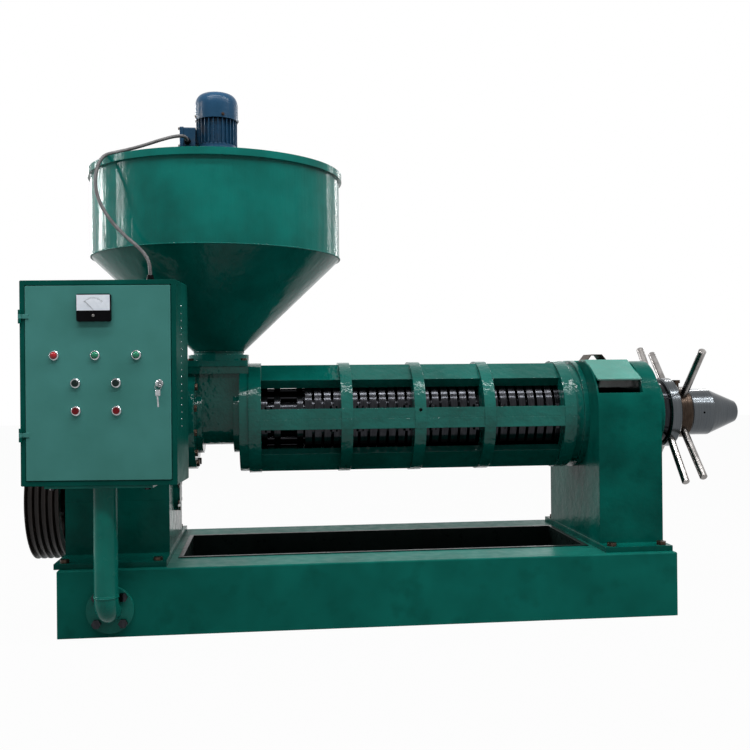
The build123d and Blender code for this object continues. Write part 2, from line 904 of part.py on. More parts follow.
# Cage: two half castings clamped round the ring stack
def cage_half(upper):
    """Half of the cage: ribs, end flanges, one wide bar and the split bars of one half."""
    middle = 90 if upper else 270
    spread = top_bar_angle if upper else bottom_bar_angle
    inner = top_bar_inner if upper else bottom_bar_inner
    split_middle = (0.5 if upper else -0.5) * split_half_height
    split_y = cage_radius - split_recess - split_depth / 2
    with BuildPart() as half:
        for x, width, outer in (
            [(cage_left, cage_flange, cage_radius)]
            + [(x, width, cage_radius) for x, width in zip(rib_starts, rib_widths)]
            + [(drum_start, cage_drum, cage_drum_radius)]
            + [(drum_start + cage_drum, cage_end_flange, cage_radius)]
        ):
            with BuildSketch(across(x)) as rib:
                ring_sector(outer, cage_bore, middle - 90, middle + 90)
            extrude(rib.sketch, amount=width)
        with BuildSketch(across(cage_left)) as bar:
            with BuildLine() as outline:
                bore = CenterArc((0, 0), inner, middle - spread, 2 * spread)
                Polyline(
                    bore @ 0,
                    polar(cage_bar_edge, middle - spread),
                    polar(cage_radius - 1, middle - bar_crest_angle),
                    polar(cage_radius - 1, middle + bar_crest_angle),
                    polar(cage_bar_edge, middle + spread),
                    bore @ 1,
                )
            make_face(outline.edges())
            with Locations((split_y, split_middle), (-split_y, split_middle)):
                Rectangle(split_depth, split_half_height)
        extrude(bar.sketch, amount=drum_start - cage_left)
        if not upper:
            for side in (-1, 1):
                origin = (0, side * (split_y - split_depth / 2), shaft_z - split_half_height)
                with BuildSketch(Plane(origin=origin, x_dir=(1, 0, 0), z_dir=(0, side, 0))) as web:
                    for low, high in windows[1:]:
                        for x, way in ((low, 1), (high, -1)):
                            corner_web(x, way, side)
                extrude(web.sketch, amount=split_depth - split_recess)
        else:
            with BuildSketch(Plane(origin=sight_spot, z_dir=(0, -1, 0))) as sight:
                Circle(sight_hole)
            extrude(sight.sketch, amount=-split_depth, mode=Mode.SUBTRACT)
    return half.part


def polar(radius, angle):
    """Point of the active sketch at a radius and an angle."""
    return (radius * cos(radians(angle)), radius * sin(radians(angle)))


def corner_web(x, way, side):
    """Rounded inner corner of a window, drawn below the split bar from its end at x."""
    down = -side
    with BuildLine() as outline:
        Line((x, 0), (x + way * window_round, 0))
        Line((x, 0), (x, down * window_round))
        RadiusArc(
            (x + way * window_round, 0), (x, down * window_round), way * down * window_round
        )
    make_face(outline.edges())


window_starts = [cage_left + cage_flange] + [x + cage_rib for x in rib_starts[:-1]]
windows = list(zip(window_starts, rib_starts))
sight_spot = (rib_starts[1] + cage_rib / 2, -cage_radius, shaft_z + split_half_height - 8)
upper_cage_frame = cage_half(True)
save(upper_cage_frame, "upper_cage_frame")
lower_cage_frame = cage_half(False)
save(lower_cage_frame, "lower_cage_frame")

# Clamp bolts on the split bars, two in each window
clamp_spots = []
for low, high in windows:
    for x in (low + clamp_inset, high - clamp_inset):
        for y in (-1, 1):
            clamp_spots.append((x, y * (cage_radius - split_recess - split_depth / 2)))
with BuildPart() as cage_clamp_bolts:
    for z, way in ((-split_half_height, -1), (split_half_height, 1)):
        plane = Plane(origin=(0, 0, shaft_z + z), x_dir=(1, 0, 0), z_dir=(0, 0, way))
        hex_bolts(plane, [(x, way * y) for x, y in clamp_spots], clamp_bolt, 0)
save(cage_clamp_bolts.part, "cage_clamp_bolts")


# Ring stack, one node for each bay of the cage
def ring(x, width, step):
    """One pressing ring with flats round its rim and a collar up to the next ring."""
    with BuildPart() as piece:
        with BuildSketch(across(x)) as rim:
            RegularPolygon(cage_bore - seat_gap, ring_sides)
            Circle(ring_bore, mode=Mode.SUBTRACT)
        extrude(rim.sketch, amount=width)
        if step > width:
            with BuildSketch(across(x + width)) as collar:
                Circle(ring_collar_radius)
                Circle(ring_bore, mode=Mode.SUBTRACT)
            extrude(collar.sketch, amount=step - width)
    return piece.part


def ring_stack(start, end, first_width):
    """Rings face to face from start to end: a wide one first, and a wide one to close."""
    pieces = []
    x = start
    width = first_width
    while x + width + ring_pitch < end:
        step = width + ring_pitch - ring_width
        pieces.append(ring(x, width, step))
        x += step
        width = ring_width
    pieces.append(ring(x, end - x, end - x))
    return Compound(children=pieces)


bay_ends = [x + cage_rib / 2 for x in rib_starts[:-1]] + [cage_right]
bay_starts = [ring_stack_start] + bay_ends[:-1]
first_widths = [ring_width, 2 * ring_width, 2 * ring_width, 2 * ring_width]
for number, (start, end, width) in enumerate(zip(bay_starts, bay_ends, first_widths), 1):
    save(ring_stack(start, end, width), f"cage_rings_bay_{number}")

# Open end of the stack: plates with long rods through them, round a lining tube
plate_starts = [cage_left + place for place in open_plates]
with BuildPart() as rods:
    with BuildSketch(across(plate_starts[0] + open_plate)):
        with PolarLocations(rod_circle, rod_count, 180 / rod_count):
            Circle(rod_radius)
    extrude(amount=ring_stack_start - plate_starts[0] - open_plate)
with BuildPart() as lining:
    with BuildSketch(across(cage_left)):
        Circle(liner_radius)
        Circle(ring_bore, mode=Mode.SUBTRACT)
    extrude(amount=ring_stack_start - cage_left)


def rod_plate(x, drilled):
    with BuildPart() as plate:
        with BuildSketch(across(x)):
            Circle(cage_bore - seat_gap)
            Circle(liner_radius, mode=Mode.SUBTRACT)
            if drilled:
                with PolarLocations(rod_circle, rod_count, 180 / rod_count):
                    Circle(rod_radius + seat_gap, mode=Mode.SUBTRACT)
        extrude(amount=open_plate)
    return plate.part


plates = [rod_plate(x, number > 0) for number, x in enumerate(plate_starts)]
save(Compound(children=plates + list(rods.part.solids()) + [lining.part]), "cage_rods")

# Discharge pedestal: a hollow casting with round shoulders, open underneath
pedestal_half = pedestal_width / 2
foot_middle = (pedestal_left + pedestal_right) / 2


def pedestal_face(x, inset):
    """Outline of the pedestal square to the shaft, drawn inwards by the inset."""
    high = pedestal_top - inset
    low = foot_top if inset == 0 else base_height
    with BuildSketch(Plane.YZ.offset(x)) as outline:
        with Locations((0, (low + high) / 2)):
            Rectangle(pedestal_width - 2 * inset, high - low)
        fillet(outline.vertices().group_by(Axis.Y)[-1], pedestal_round - inset)
    return outline.sketch


pedestal_bolt_x = pedestal_length / 2 - pedestal_bolt_inset
pedestal_bolt_y = pedestal_foot_width / 2 - pedestal_bolt_inset
pedestal_spots = [
    (foot_middle + i * pedestal_bolt_x, j * pedestal_bolt_y) for i in (-1, 1) for j in (-1, 1)
]
with BuildPart() as discharge_pedestal:
    extrude(pedestal_face(pedestal_left, 0), amount=pedestal_length)
    with BuildSketch(deck):
        with Locations((foot_middle, 0)):
            Rectangle(pedestal_length + 2 * pedestal_foot_overhang, pedestal_foot_width)
    extrude(amount=foot_thickness)
    with BuildSketch(across(pedestal_right)):
        Circle(pedestal_boss_radius)
    extrude(amount=pedestal_boss)
    boss_edge = discharge_pedestal.edges().filter_by(GeomType.CIRCLE).group_by(Axis.X)[-1]
    fillet(boss_edge, pedestal_boss_round)
    extrude(
        pedestal_face(pedestal_left + pedestal_wall, pedestal_wall),
        amount=pedestal_length - pedestal_wall - pedestal_end_wall,
        mode=Mode.SUBTRACT,
    )
    with BuildSketch(across(pedestal_left)):
        Circle(pedestal_seat)
    extrude(amount=pedestal_wall, mode=Mode.SUBTRACT)
    with BuildSketch(across(pedestal_right + pedestal_boss)):
        Circle(sleeve_radius + running_fit)
    extrude(amount=-pedestal_boss - pedestal_end_wall, mode=Mode.SUBTRACT)
    window_y = (pedestal_half + hood_inner_y) / 2
    window_z = (window_low + pedestal_top) / 2
    with BuildSketch(Plane.YZ.offset(window_start)):
        with Locations((-window_y, window_z), (window_y, window_z)):
            Rectangle(pedestal_half - hood_inner_y, pedestal_top - window_low)
    extrude(amount=window_end - window_start, mode=Mode.SUBTRACT)
    holes(Plane.XY.offset(foot_top), pedestal_spots, pedestal_bolt, foot_thickness)
save(discharge_pedestal.part, "discharge_pedestal")

with BuildPart() as pedestal_foot_bolts:
    hex_bolts(Plane.XY.offset(foot_top), pedestal_spots, pedestal_bolt, foot_thickness)
save(pedestal_foot_bolts.part, "pedestal_foot_bolts")

# Hood plates bent over the upper part of each discharge window
hood_slope = atan2(pedestal_top - hood_low, hood_outer_y - hood_inner_y)
with BuildPart() as chute_hoods:
    for side in (-1, 1):
        with BuildSketch(Plane.YZ.offset(window_start + seat_gap)) as bend:
            with BuildLine():
                Polyline(
                    (side * (hood_inner_y - hood_leg), pedestal_top),
                    (side * hood_inner_y, pedestal_top),
                    (side * hood_outer_y, hood_low),
                    (
                        side * (hood_outer_y + hood_sheet * sin(hood_slope)),
                        hood_low + hood_sheet * cos(hood_slope),
                    ),
                    (side * (hood_inner_y + hood_sheet / 3), pedestal_top + hood_sheet),
                    (side * (hood_inner_y - hood_leg), pedestal_top + hood_sheet),
                    close=True,
                )
            make_face()
        extrude(bend.sketch, amount=window_end - window_start - 2 * seat_gap)
save(chute_hoods.part, "chute_hoods")

with BuildPart() as vent_cowl:
    with BuildSketch(Plane(origin=(vent_x, vent_y, pedestal_top), z_dir=(0, 1, 0), x_dir=(-1, 0, 0))):
        with BuildLine():
            Polyline(
                (-vent_base / 2, 0), (-vent_crest / 2, vent_height), (vent_crest / 2, vent_height),
                (vent_base / 2, 0), (vent_base / 2 - 1.6 * vent_sheet, 0),
                (vent_crest / 2 - vent_sheet / 2, vent_height - vent_sheet),
                (-vent_crest / 2 + vent_sheet / 2, vent_height - vent_sheet),
                (-vent_base / 2 + 1.6 * vent_sheet, 0), close=True,
            )
        make_face()
    extrude(amount=vent_length)
save(vent_cowl.part, "vent_cowl")

# Choke sleeve, adjusting screw, lock ring and their bars
choke_sleeve = turned(
    [
        (sleeve_tip, worm_shaft_radius + running_fit), (sleeve_tip, sleeve_tip_radius),
        (sleeve_tip + sleeve_cone, sleeve_radius), (boss_face + seat_gap, sleeve_radius),
        (boss_face + seat_gap, sleeve_collar_radius), (lock_ring_start, sleeve_collar_radius),
        (lock_ring_start, adjusting_spigot + running_fit),
        (sleeve_bore_end, adjusting_spigot + running_fit),
        (sleeve_bore_end, worm_shaft_radius + running_fit),
    ]
)
save(choke_sleeve, "choke_sleeve")

lock_ring_end = lock_ring_start + lock_ring_width
lock_bar_x = lock_ring_start + lock_bar_place
adjusting_bar_x = lock_ring_end + adjusting_ring_width / 2
cone_start = lock_ring_end + adjusting_ring_width
cone_end = cone_start + cone_cylinder + cone_length
with BuildPart() as adjusting_screw:
    add(
        turned(
            [
                (spigot_start, 0), (spigot_start, adjusting_spigot),
                (lock_ring_start + seat_gap, adjusting_spigot),
                (lock_ring_start + seat_gap, adjusting_neck), (cone_start, adjusting_neck),
                (cone_start, cone_radius - cone_edge), (cone_start + cone_edge, cone_radius),
                (cone_start + cone_cylinder, cone_radius),
                (cone_end - cone_edge, cone_tip_radius + cone_edge),
                (cone_end, cone_tip_radius), (cone_end, 0),
            ]
        )
    )
    hole_x = cone_start + cone_cylinder / 2
    with BuildSketch(Plane(origin=(hole_x, -cone_radius, shaft_z), z_dir=(0, -1, 0))):
        Circle(grease_hole)
    extrude(amount=-5 * grease_hole, mode=Mode.SUBTRACT)
save(adjusting_screw.part, "adjusting_screw")


def bar_ring(start, width, radius, bore, bar_x, angles):
    """Ring with a chamfered rim and a blind socket for each bar."""
    with BuildPart() as piece:
        with BuildSketch(across(start)):
            Circle(radius)
            Circle(bore, mode=Mode.SUBTRACT)
        extrude(amount=width)
        rims = piece.edges().filter_by(GeomType.CIRCLE).group_by(SortBy.RADIUS)[-1]
        chamfer(rims, ring_chamfer)
        for angle in angles:
            outward = (0, cos(radians(angle)), sin(radians(angle)))
            origin = Vector(bar_x, 0, shaft_z) + Vector(*outward) * (radius + 1)
            with BuildSketch(Plane(origin=origin, z_dir=outward)) as socket:
                Circle(bar_radius)
            extrude(socket.sketch, amount=-bar_socket - 1, mode=Mode.SUBTRACT)
    return piece.part


def bars(radius, bar_x, angles):
    """Round bars seated in the sockets of a ring."""
    pieces = []
    for angle in angles:
        outward = (0, cos(radians(angle)), sin(radians(angle)))
        root = Vector(bar_x, 0, shaft_z) + Vector(*outward) * (radius - bar_socket)
        with BuildPart() as bar:
            with BuildSketch(Plane(origin=root, z_dir=outward)) as section:
                Circle(bar_radius)
            extrude(section.sketch, amount=bar_reach - radius + bar_socket)
            chamfer(bar.edges().filter_by(GeomType.CIRCLE), bar_chamfer)
        pieces.append(bar.part)
    return Compound(children=pieces)


lock_angles = (50, 230)
adjusting_angles = (45, 135, 225, 315)
save(
    bar_ring(
        lock_ring_start + seat_gap, lock_ring_width - 2 * seat_gap, lock_ring_radius,
        adjusting_neck + running_fit, lock_bar_x, lock_angles,
    ),
    "lock_ring",
)
save(bars(lock_ring_radius, lock_bar_x, lock_angles), "lock_bars")
save(
    bar_ring(
        lock_ring_end, adjusting_ring_width, adjusting_ring_radius,
        adjusting_neck, adjusting_bar_x, adjusting_angles,
    ),
    "adjusting_ring",
)
save(bars(adjusting_ring_radius, adjusting_bar_x, adjusting_angles), "adjusting_bars")

with BuildPart() as lock_screw:
    with BuildSketch(Plane.XY.offset(shaft_z + adjusting_ring_radius)):
        with Locations((adjusting_bar_x, 0)):
            Circle(lock_screw_radius)
    extrude(amount=lock_screw_shank)
    with BuildSketch(Plane.XY.offset(shaft_z + adjusting_ring_radius + lock_screw_shank)):
        with Locations((adjusting_bar_x, 0)):
            RegularPolygon(1.6 * lock_screw_radius, 6)
    extrude(amount=lock_screw_head)
save(lock_screw.part, "lock_screw")

# Hopper: cylinder with a rolled rim, cone, neck and bolted plate
hopper_rim_top = hopper_high + hopper_rim_height
cone_sheet = hopper_sheet * hypot(hopper_radius - neck_radius, hopper_low - hopper_neck_z) / (
    hopper_low - hopper_neck_z
)
with BuildPart() as hopper_shell:
    with BuildSketch(Plane(origin=(feed_x, 0, 0), x_dir=(1, 0, 0), z_dir=(0, -1, 0))):
        with BuildLine():
            Polyline(
                (neck_radius, feed_top + neck_plate), (neck_ring_radius, feed_top + neck_plate),
                (neck_ring_radius, feed_top + neck_plate + neck_ring),
                (neck_radius, feed_top + neck_plate + neck_ring),
                (neck_radius, hopper_neck_z), (hopper_radius, hopper_low),
                (hopper_radius, hopper_high), (hopper_rim_radius, hopper_high),
                (hopper_rim_radius, hopper_rim_top), (hopper_radius - hopper_sheet, hopper_rim_top),
                (hopper_radius - hopper_sheet, hopper_low),
                (neck_radius - cone_sheet, hopper_neck_z),
                (neck_radius - cone_sheet, feed_top + neck_plate), close=True,
            )
        make_face()
    revolve(axis=Axis((feed_x, 0, 0), (0, 0, 1)))
    with BuildSketch(Plane.XY.offset(feed_top)):
        with Locations((feed_x, 0)):
            RectangleRounded(neck_plate_width, neck_plate_width, neck_plate_round)
            Circle(throat, mode=Mode.SUBTRACT)
    extrude(amount=neck_plate)
save(hopper_shell.part, "hopper_shell")

# Stirrer drive on a beam below the rim
beam_top = hopper_rim_top - beam_below_rim
beam_length = 2 * sqrt((hopper_radius - hopper_sheet) ** 2 - (beam_width / 2) ** 2) - 1
with BuildPart() as motor_beam:
    with BuildSketch(Plane.YZ.offset(feed_x - beam_length / 2)):
        with Locations((0, beam_top - beam_height / 2)):
            Rectangle(beam_width, beam_height)
        with Locations((0, beam_top - beam_height / 2 - beam_sheet)):
            Rectangle(beam_width - 2 * beam_sheet, beam_height, mode=Mode.SUBTRACT)
    extrude(amount=beam_length)
    with BuildSketch(Plane.XY.offset(beam_top)):
        with Locations((feed_x, 0)):
            Circle(2 * stirrer_radius)
    extrude(amount=-beam_sheet, mode=Mode.SUBTRACT)
save(motor_beam.part, "motor_beam")

reducer_top = beam_top + reducer_height
drive_axis = Plane(origin=(feed_x, 0, 0), x_dir=(1, 0, 0), z_dir=(0, -1, 0))
drive_line = Axis((feed_x, 0, 0), (0, 0, 1))
with BuildPart() as stirrer_reducer:
    with BuildSketch(drive_axis):
        with BuildLine():
            Polyline(
                (stirrer_radius + running_fit, beam_top), (reducer_flange_radius, beam_top),
                (reducer_flange_radius, beam_top + reducer_flange),
                (reducer_radius, beam_top + reducer_flange),
                (reducer_radius, reducer_top - reducer_flange),
                (reducer_radius + reducer_rim, reducer_top - reducer_flange),
                (reducer_radius + reducer_rim, reducer_top), (0, reducer_top),
                (0, beam_top + reducer_height / 2),
                (stirrer_radius + running_fit, beam_top + reducer_height / 2), close=True,
            )
        make_face()
    revolve(axis=drive_line)
    with BuildSketch(Plane(origin=(feed_x, 0, beam_top + reducer_flange))):
        with PolarLocations(reducer_flange_radius - reducer_rim, 6):
            RegularPolygon(0.95 * reducer_bolt, 6)
    extrude(amount=0.65 * reducer_bolt)
save(stirrer_reducer.part, "stirrer_reducer")

bell_top = reducer_top + motor_bell
frame_top = reducer_top + motor_frame
with BuildPart() as motor_body:
    with BuildSketch(Plane(origin=(feed_x, 0, reducer_top))):
        Circle(reducer_radius)
    extrude(amount=motor_bell)
    with BuildSketch(Plane(origin=(feed_x, 0, bell_top))):
        Circle(motor_core)
        with PolarLocations(motor_core, motor_fins, 180 / motor_fins):
            Rectangle(2 * (motor_fin_radius - motor_core), motor_fin_thickness)
    extrude(amount=motor_frame - motor_bell)
save(motor_body.part, "motor_body")

cover_bottom = frame_top + seat_gap
cover_side = cover_bottom + fan_cover_side
cover_top = cover_bottom + fan_cover_height
with BuildPart() as fan_cover:
    with BuildSketch(drive_axis):
        with BuildLine():
            Line((0, cover_bottom), (fan_cover_radius, cover_bottom))
            Line((fan_cover_radius, cover_bottom), (fan_cover_radius, cover_side))
            Spline(
                (fan_cover_radius, cover_side), (fan_cover_top, cover_top),
                tangents=((0, 1), (-1, 0)),
            )
            Line((fan_cover_top, cover_top), (0, cover_top))
            Line((0, cover_top), (0, cover_bottom))
        make_face()
    revolve(axis=drive_line)
    offset(amount=-fan_cover_sheet, openings=fan_cover.faces().sort_by(Axis.Z)[0])
    with BuildSketch(Plane(origin=(feed_x, 0, cover_top))):
        for circle in fan_slot_circles:
            with PolarLocations(circle, int(circle / 2)):
                SlotOverall(fan_slot_length, fan_slot_width)
    extrude(amount=-3 * fan_cover_sheet, mode=Mode.SUBTRACT)
save(fan_cover.part, "fan_cover")

terminal_left = feed_x - terminal_reach
terminal_low = reducer_top + 1
terminal_length = terminal_reach - motor_fin_radius - terminal_lid
with BuildPart() as terminal_box:
    with BuildSketch(Plane.XY.offset(terminal_low)):
        with Locations((terminal_left + terminal_lid + terminal_length / 2, 0)):
            Rectangle(terminal_length, terminal_width)
    extrude(amount=terminal_height)
    fillet(terminal_box.edges().filter_by(Axis.X), terminal_round)
    with BuildSketch(Plane.YZ.offset(terminal_left + terminal_lid)):
        with Locations((0, terminal_low + terminal_height / 2)):
            Rectangle(terminal_width - 2 * terminal_wall, terminal_height - 2 * terminal_wall)
    extrude(amount=terminal_length - terminal_wall, mode=Mode.SUBTRACT)
save(terminal_box.part, "terminal_box")

with BuildPart() as terminal_cover:
    with BuildSketch(Plane.YZ.offset(terminal_left)):
        with Locations((0, terminal_low + terminal_height / 2)):
            RectangleRounded(
                terminal_width + terminal_wall, terminal_height + terminal_wall, terminal_round
            )
    extrude(amount=terminal_lid)
    fillet(terminal_cover.faces().sort_by(Axis.X)[0].edges(), terminal_round / 2)
save(terminal_cover.part, "terminal_cover")

stirrer_shaft_top = beam_top + reducer_height / 2 - 2
with BuildPart() as stirrer_shaft:
    with BuildSketch(Plane(origin=(feed_x, 0, stirrer_bottom))):
        Circle(stirrer_radius)
    extrude(amount=stirrer_shaft_top - stirrer_bottom)
    chamfer(stirrer_shaft.edges().group_by(Axis.Z)[0], 3)
save(stirrer_shaft.part, "stirrer_shaft")

with BuildPart() as stirrer_paddles:
    for height, reach, turn in stirrer_arms:
        z = hopper_low + height
        with BuildSketch(Plane(origin=(feed_x, 0, z))) as hub:
            Circle(stirrer_radius + stirrer_hub_wall)
        extrude(hub.sketch, amount=stirrer_bar_width, both=True)
        direction = Vector(cos(radians(turn)), sin(radians(turn)), 0)
        side = Vector(-direction.Y, direction.X, 0)
        for way in (-1, 1):
            leaning = (side + Vector(0, 0, way)).normalized()
            with BuildSketch(
                Plane(origin=Vector(feed_x, 0, z), x_dir=leaning, z_dir=direction * way)
            ) as blade:
                Rectangle(stirrer_bar_width, stirrer_bar_thickness)
            extrude(blade.sketch, amount=reach)
        with BuildSketch(Plane(origin=(feed_x, 0, z - stirrer_bar_width))) as bore:
            Circle(stirrer_radius)
        extrude(bore.sketch, amount=2 * stirrer_bar_width, mode=Mode.SUBTRACT)
save(stirrer_paddles.part, "stirrer_paddles")

# Control cabinet, swivelled a little towards the operator
swivel = radians(cabinet_swivel)
cabinet_front = Plane(
    origin=(cabinet_x, cabinet_y, cabinet_z),
    x_dir=(cos(swivel), -sin(swivel), 0),
    z_dir=(-sin(swivel), -cos(swivel), 0),
)
cabinet_middle = cabinet_height / 2
door_width = cabinet_width - 2 * cabinet_border - 2 * door_gap
door_height = cabinet_height - 2 * cabinet_border - 2 * door_gap
hinge_x = -cabinet_width / 2 + 2
hinge_out = door_proud + hinge_radius + seat_gap
hinge_axis_point = cabinet_front.from_local_coords((hinge_x, 0, hinge_out))


def knuckle(height, length, radius, bore):
    """Hinge knuckle on the hinge line, above a height on the cabinet."""
    origin = hinge_axis_point + Vector(0, 0, height)
    with BuildSketch(Plane(origin=origin, x_dir=cabinet_front.x_dir, z_dir=(0, 0, 1))) as face:
        Circle(radius)
        if bore:
            Circle(bore, mode=Mode.SUBTRACT)
    extrude(face.sketch, amount=length)


knuckle_length = hinge_length / 3
with BuildPart() as cabinet_body:
    with BuildSketch(cabinet_front):
        with Locations((0, cabinet_middle)):
            RectangleRounded(cabinet_width, cabinet_height, cabinet_round)
    extrude(amount=-cabinet_depth)
    with BuildSketch(cabinet_front.offset(-cabinet_lip)):
        with Locations((0, cabinet_middle)):
            Rectangle(cabinet_width - 2 * cabinet_sheet, cabinet_height - 2 * cabinet_sheet)
    extrude(amount=cabinet_lip + cabinet_sheet - cabinet_depth, mode=Mode.SUBTRACT)
    with BuildSketch(cabinet_front):
        with Locations((0, cabinet_middle)):
            Rectangle(cabinet_width - 2 * cabinet_border, cabinet_height - 2 * cabinet_border)
    extrude(amount=-cabinet_lip, mode=Mode.SUBTRACT)
    side_plane = Plane(
        origin=cabinet_front.from_local_coords((cabinet_width / 2, 0, 0)),
        x_dir=(0, 0, 1),
        z_dir=cabinet_front.x_dir,
    )
    with BuildSketch(side_plane):
        with Locations(
            *[
                (vent_hole_low + i * vent_hole_pitch, vent_hole_depth)
                for i in range(vent_hole_count)
            ]
        ):
            Circle(vent_hole)
    extrude(amount=-2 * cabinet_sheet, mode=Mode.SUBTRACT)
    for height in hinge_heights:
        for step in (0, 2):
            knuckle(height + step * knuckle_length, knuckle_length - seat_gap, hinge_radius, 0)
            with BuildSketch(cabinet_front) as leaf:
                with Locations((hinge_x + 1, height + (step + 0.5) * knuckle_length)):
                    Rectangle(6, knuckle_length - 2 * seat_gap)
            extrude(leaf.sketch, amount=hinge_out)
        knuckle(height, hinge_length - seat_gap, hinge_pin_radius, 0)
save(cabinet_body.part, "cabinet_body")

with BuildPart() as cabinet_door:
    with BuildSketch(cabinet_front.offset(-door_pan)):
        with Locations((0, cabinet_middle)):
            RectangleRounded(door_width, door_height, door_round)
    extrude(amount=door_pan + door_proud)
    with BuildSketch(cabinet_front.offset(-door_pan)):
        with Locations((0, cabinet_middle)):
            Rectangle(door_width - 2 * cabinet_sheet, door_height - 2 * cabinet_sheet)
    extrude(amount=door_pan + door_proud - cabinet_sheet, mode=Mode.SUBTRACT)
    with BuildSketch(cabinet_front.offset(door_proud)):
        with Locations(*lamp_spots, *button_spots):
            Circle(button_barrel)
        with Locations(lock_spot):
            Circle(lock_radius + running_fit)
    extrude(amount=-cabinet_lip, mode=Mode.SUBTRACT)
    for height in hinge_heights:
        with BuildSketch(cabinet_front.offset(door_proud)) as leaf:
            with Locations((hinge_x + hinge_leaf / 2, height + hinge_length / 2)):
                Rectangle(hinge_leaf, knuckle_length - 2 * seat_gap)
        extrude(leaf.sketch, amount=hinge_radius / 2)
        knuckle(
            height + knuckle_length + seat_gap, knuckle_length - 3 * seat_gap, hinge_radius, 0
        )
        with BuildSketch(
            Plane(origin=hinge_axis_point + Vector(0, 0, height), z_dir=(0, 0, 1))
        ) as bore:
            Circle(hinge_pin_radius + running_fit)
        extrude(bore.sketch, amount=hinge_length, mode=Mode.SUBTRACT)
save(cabinet_door.part, "cabinet_door")

with BuildPart() as panel_meter:
    with BuildSketch(cabinet_front.offset(door_proud)):
        with Locations(meter_spot):
            RectangleRounded(meter_width, meter_height, meter_round)
    extrude(amount=meter_proud)
    chamfer(panel_meter.faces().sort_by(Axis.Y)[0].edges(), 2)
save(panel_meter.part, "panel_meter")

bezel_face = door_proud + bezel_height
with BuildPart() as button_bezels:
    with BuildSketch(cabinet_front.offset(door_proud)):
        with Locations(*lamp_spots, *button_spots):
            Circle(bezel_radius)
    extrude(amount=bezel_height)
    chamfer(
        button_bezels.edges().filter_by(GeomType.CIRCLE).filter_by(
            lambda edge: cabinet_front.to_local_coords(edge.center()).Z > bezel_face - 1
        ),
        bezel_chamfer,
    )
    with BuildSketch(cabinet_front.offset(door_proud)):
        with Locations(*lamp_spots, *button_spots):
            Circle(button_barrel)
    extrude(amount=-button_depth)
    with BuildSketch(cabinet_front.offset(bezel_face)):
        with Locations(*lamp_spots):
            Circle(lamp_radius)
        with Locations(*button_spots):
            Circle(button_radius + running_fit)
    extrude(amount=-bezel_height - button_depth, mode=Mode.SUBTRACT)
save(button_bezels.part, "button_bezels")

with BuildPart() as lamp_lenses:
    with BuildSketch(cabinet_front.offset(door_proud)):
        with Locations(*lamp_spots):
            Circle(lamp_radius)
    extrude(amount=bezel_height + 2)
    fillet(
        lamp_lenses.edges().filter_by(GeomType.CIRCLE).filter_by(
            lambda edge: cabinet_front.to_local_coords(edge.center()).Z > bezel_face
        ),
        3,
    )
save(lamp_lenses.part, "lamp_lenses")

for number, spot in enumerate(button_spots, 1):
    with BuildPart() as push_button:
        with BuildSketch(cabinet_front.offset(bezel_face + button_proud)):
            with Locations(spot):
                Circle(button_radius)
        extrude(amount=-button_proud - bezel_height - button_depth + button_travel + 1)
        chamfer(push_button.edges().filter_by(GeomType.CIRCLE), 1)
    save(push_button.part, f"push_button_{number}")

with BuildPart() as door_lock:
    with BuildSketch(cabinet_front.offset(-cabinet_lip - 4)):
        with Locations(lock_spot):
            Circle(lock_radius)
    extrude(amount=cabinet_lip + 4 + door_proud)
    with BuildSketch(cabinet_front.offset(door_proud + seat_gap)):
        with Locations(lock_spot):
            Circle(lock_collar)
    extrude(amount=3)
    with BuildSketch(cabinet_front.offset(-cabinet_lip - 4)):
        with Locations((lock_spot[0], lock_spot[1] - lock_cam / 2)):
            Rectangle(lock_cam_width, lock_cam)
    extrude(amount=3)
    with BuildSketch(cabinet_front.offset(door_proud)):
        with Locations(lock_spot):
            Rectangle(key_sheet, key_width)
    extrude(amount=key_stem)
    bow_spot = (lock_spot[0] - key_sheet / 2, lock_spot[1], key_stem + key_bow / 2 - key_hole)
    bow_plane = Plane(
        origin=cabinet_front.from_local_coords(bow_spot), z_dir=cabinet_front.x_dir
    )
    with BuildSketch(bow_plane):
        Circle(key_bow / 2)
        Circle(key_hole, mode=Mode.SUBTRACT)
    extrude(amount=key_sheet)
save(door_lock.part, "door_lock")

# Pipe that carries the cabinet, with an elbow into the base
base_front = -base_width / 2
pipe_top = cabinet_z - shelf
elbow_plane = Plane(origin=(pipe_x, base_front, pipe_low), x_dir=(1, 0, 0), z_dir=(0, -1, 0))
with BuildPart() as support_pipe:
    with BuildLine() as pipe_line:
        FilletPolyline(
            (pipe_x, pipe_y, pipe_top), (pipe_x, pipe_y, pipe_low),
            (pipe_x, base_front, pipe_low), radius=elbow_radius,
        )
    with BuildSketch(Plane(origin=(pipe_x, pipe_y, pipe_top), z_dir=(0, 0, -1))):
        Circle(pipe_radius)
        Circle(pipe_radius - pipe_wall, mode=Mode.SUBTRACT)
    sweep()
    with BuildSketch(elbow_plane):
        Circle(pipe_flange_radius)
        Circle(pipe_radius - pipe_wall, mode=Mode.SUBTRACT)
    extrude(amount=pipe_flange)
    with BuildSketch(Plane(origin=(pipe_x, pipe_y, pipe_low + elbow_radius))):
        Circle(pipe_radius + weld_height / 3)
        Circle(pipe_radius - pipe_wall, mode=Mode.SUBTRACT)
    extrude(amount=weld_height)
    shelf_plane = Plane(
        origin=(pipe_x, pipe_y, pipe_top), x_dir=cabinet_front.x_dir, z_dir=(0, 0, 1)
    )
    with BuildSketch(shelf_plane):
        Rectangle(shelf_length, shelf_width)
        Circle(pipe_radius - pipe_wall, mode=Mode.SUBTRACT)
    extrude(amount=shelf)
save(support_pipe.part, "support_pipe")

